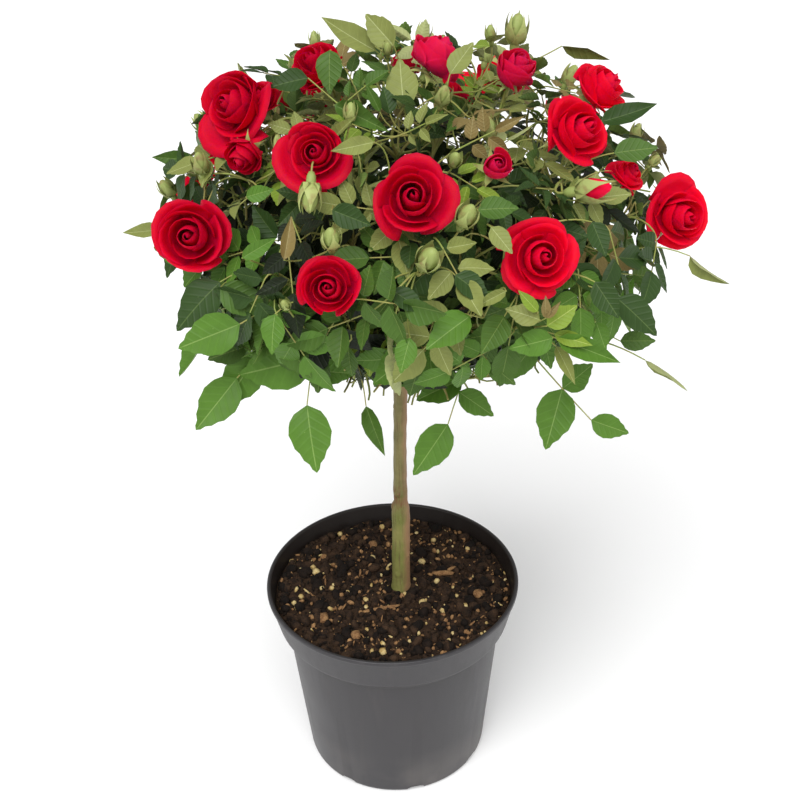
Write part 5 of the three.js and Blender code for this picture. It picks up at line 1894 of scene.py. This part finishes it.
def blooms_of(index):
    return [bloom for bloom in flowers if bloom["home"] == index]


for index, bough in enumerate(BOUGHS):
    spots = [bloom_spot(bloom) for bloom in blooms_of(index)]
    made = plant("blooms_" + bough["name"], spots, BLOOM_TREE, BLOOM_SHAPES)
    settle_piece(made, "foliage_" + bough["name"])

# %% [markdown]
# ## Stalks
# The last lines are the flower stalks. Each one starts on the nearest wood and arrives under its
# bloom from behind. All lines of a mass then go through the tube tree together.

# %% Twig finish
TWIG_COLOURS = {"young": ((142, 158, 78), (156, 148, 84)), "old": ((84, 80, 42), (100, 80, 52))}


def twig_finish():
    finish = Finish("twig", Specular_IOR_Level=0.35)
    cloud = finish.noise(160, 3)
    mottled = finish.band(cloud, 0.35, 0.65)
    old, young = (finish.mix(mottled, *TWIG_COLOURS[age]) for age in ("old", "young"))
    finish.colour(finish.mix(finish.attribute("green"), old, young))
    finish.roughness(finish.band(cloud, 0.3, 0.7, 0.45, 0.6))
    finish.bump(cloud, 0.0002)
    return finish.material


# %% Make the twigs
TWIG = twig_finish()
# The radii at the two ends of a flower's stalk, and how green it is
FULL_STALK, BUD_STALK = (0.62, 0.5, 0.95), (0.42, 0.36, 0.95)
# A bloom wider than this, in mm, has a full stalk
FULL_FROM = 9
# How deep below its place a bud and a bloom end, in radii, and how far behind it the stalk sets out
BUD_DEPTH, BLOOM_DEPTH, STALK_REACH = 1.85, 0.98, 22
FLOWER_STEPS = 9


def flower_stalk(bloom, wood):
    depth = BUD_DEPTH if bloom["shape"] in (RIPE_BUD, GREEN_BUD) else BLOOM_DEPTH
    calyx = bloom["place"] - bloom["facing"] * depth * bloom["across"] / 2
    root, leave = nearest_on(wood, calyx - bloom["facing"] * STALK_REACH)
    line = swung(root, leave, bloom["facing"], calyx, FLOWER_STEPS)
    return new_line(line, *(FULL_STALK if bloom["across"] > FULL_FROM else BUD_STALK))


for index, bough in enumerate(BOUGHS):
    stalks = GROWN[index][1] + [flower_stalk(bloom, WOOD[index]) for bloom in blooms_of(index)]
    made = tube_piece("twigs_" + bough["name"], WOOD[index] + stalks, TWIG)
    settle_piece(made, "foliage_" + bough["name"])

# %% [markdown]
# ## Studio
# The plant stands on a pale floor in soft light from all round. One large lamp high in front gives the
# leaves their shine and the pot its shape, and a weak one on the right keeps the shadows soft.

# %% Floor and light
HALF_FLOOR = 3000
FLOOR_COLOUR = (0.96, 0.96, 0.96, 1)
SKY = {"Color": (1, 1, 1, 1), "Strength": 0.42}
# name, the way to the light, how wide it spreads in degrees, which softens the shadows, and its power
LAMPS = (("key", (-0.24, -0.68, 0.9), 48, 3.0), ("fill", (0.8, -0.5, 0.5), 80, 0.7))


def make_floor():
    finish = Finish("floor", Roughness=0.9, Specular_IOR_Level=0.1, Base_Color=FLOOR_COLOUR)
    corners = [(x * HALF_FLOOR, y * HALF_FLOOR, 0) for x, y in ((-1, -1), (1, -1), (1, 1), (-1, 1))]
    mesh_object("floor", corners, [(0, 1, 2, 3)], finish.material)


def make_sky():
    world = bpy.context.scene.world or bpy.data.worlds.new("studio")
    bpy.context.scene.world = world
    world.use_nodes = True
    for key, value in SKY.items():
        world.node_tree.nodes["Background"].inputs[key].default_value = value


def make_lamp(name, toward_light, spread, power):
    """A soft far light that shines from a direction."""
    data = bpy.data.lights.new(name, "SUN")
    data.angle = math.radians(spread)
    data.energy = power
    made = add_object(name, data)
    made.rotation_mode = "QUATERNION"
    made.rotation_quaternion = Vector(toward_light).to_track_quat("Z", "Y")


make_floor()
make_sky()
for row in LAMPS:
    make_lamp(*row)
bpy.context.scene.view_settings.view_transform = "Standard"
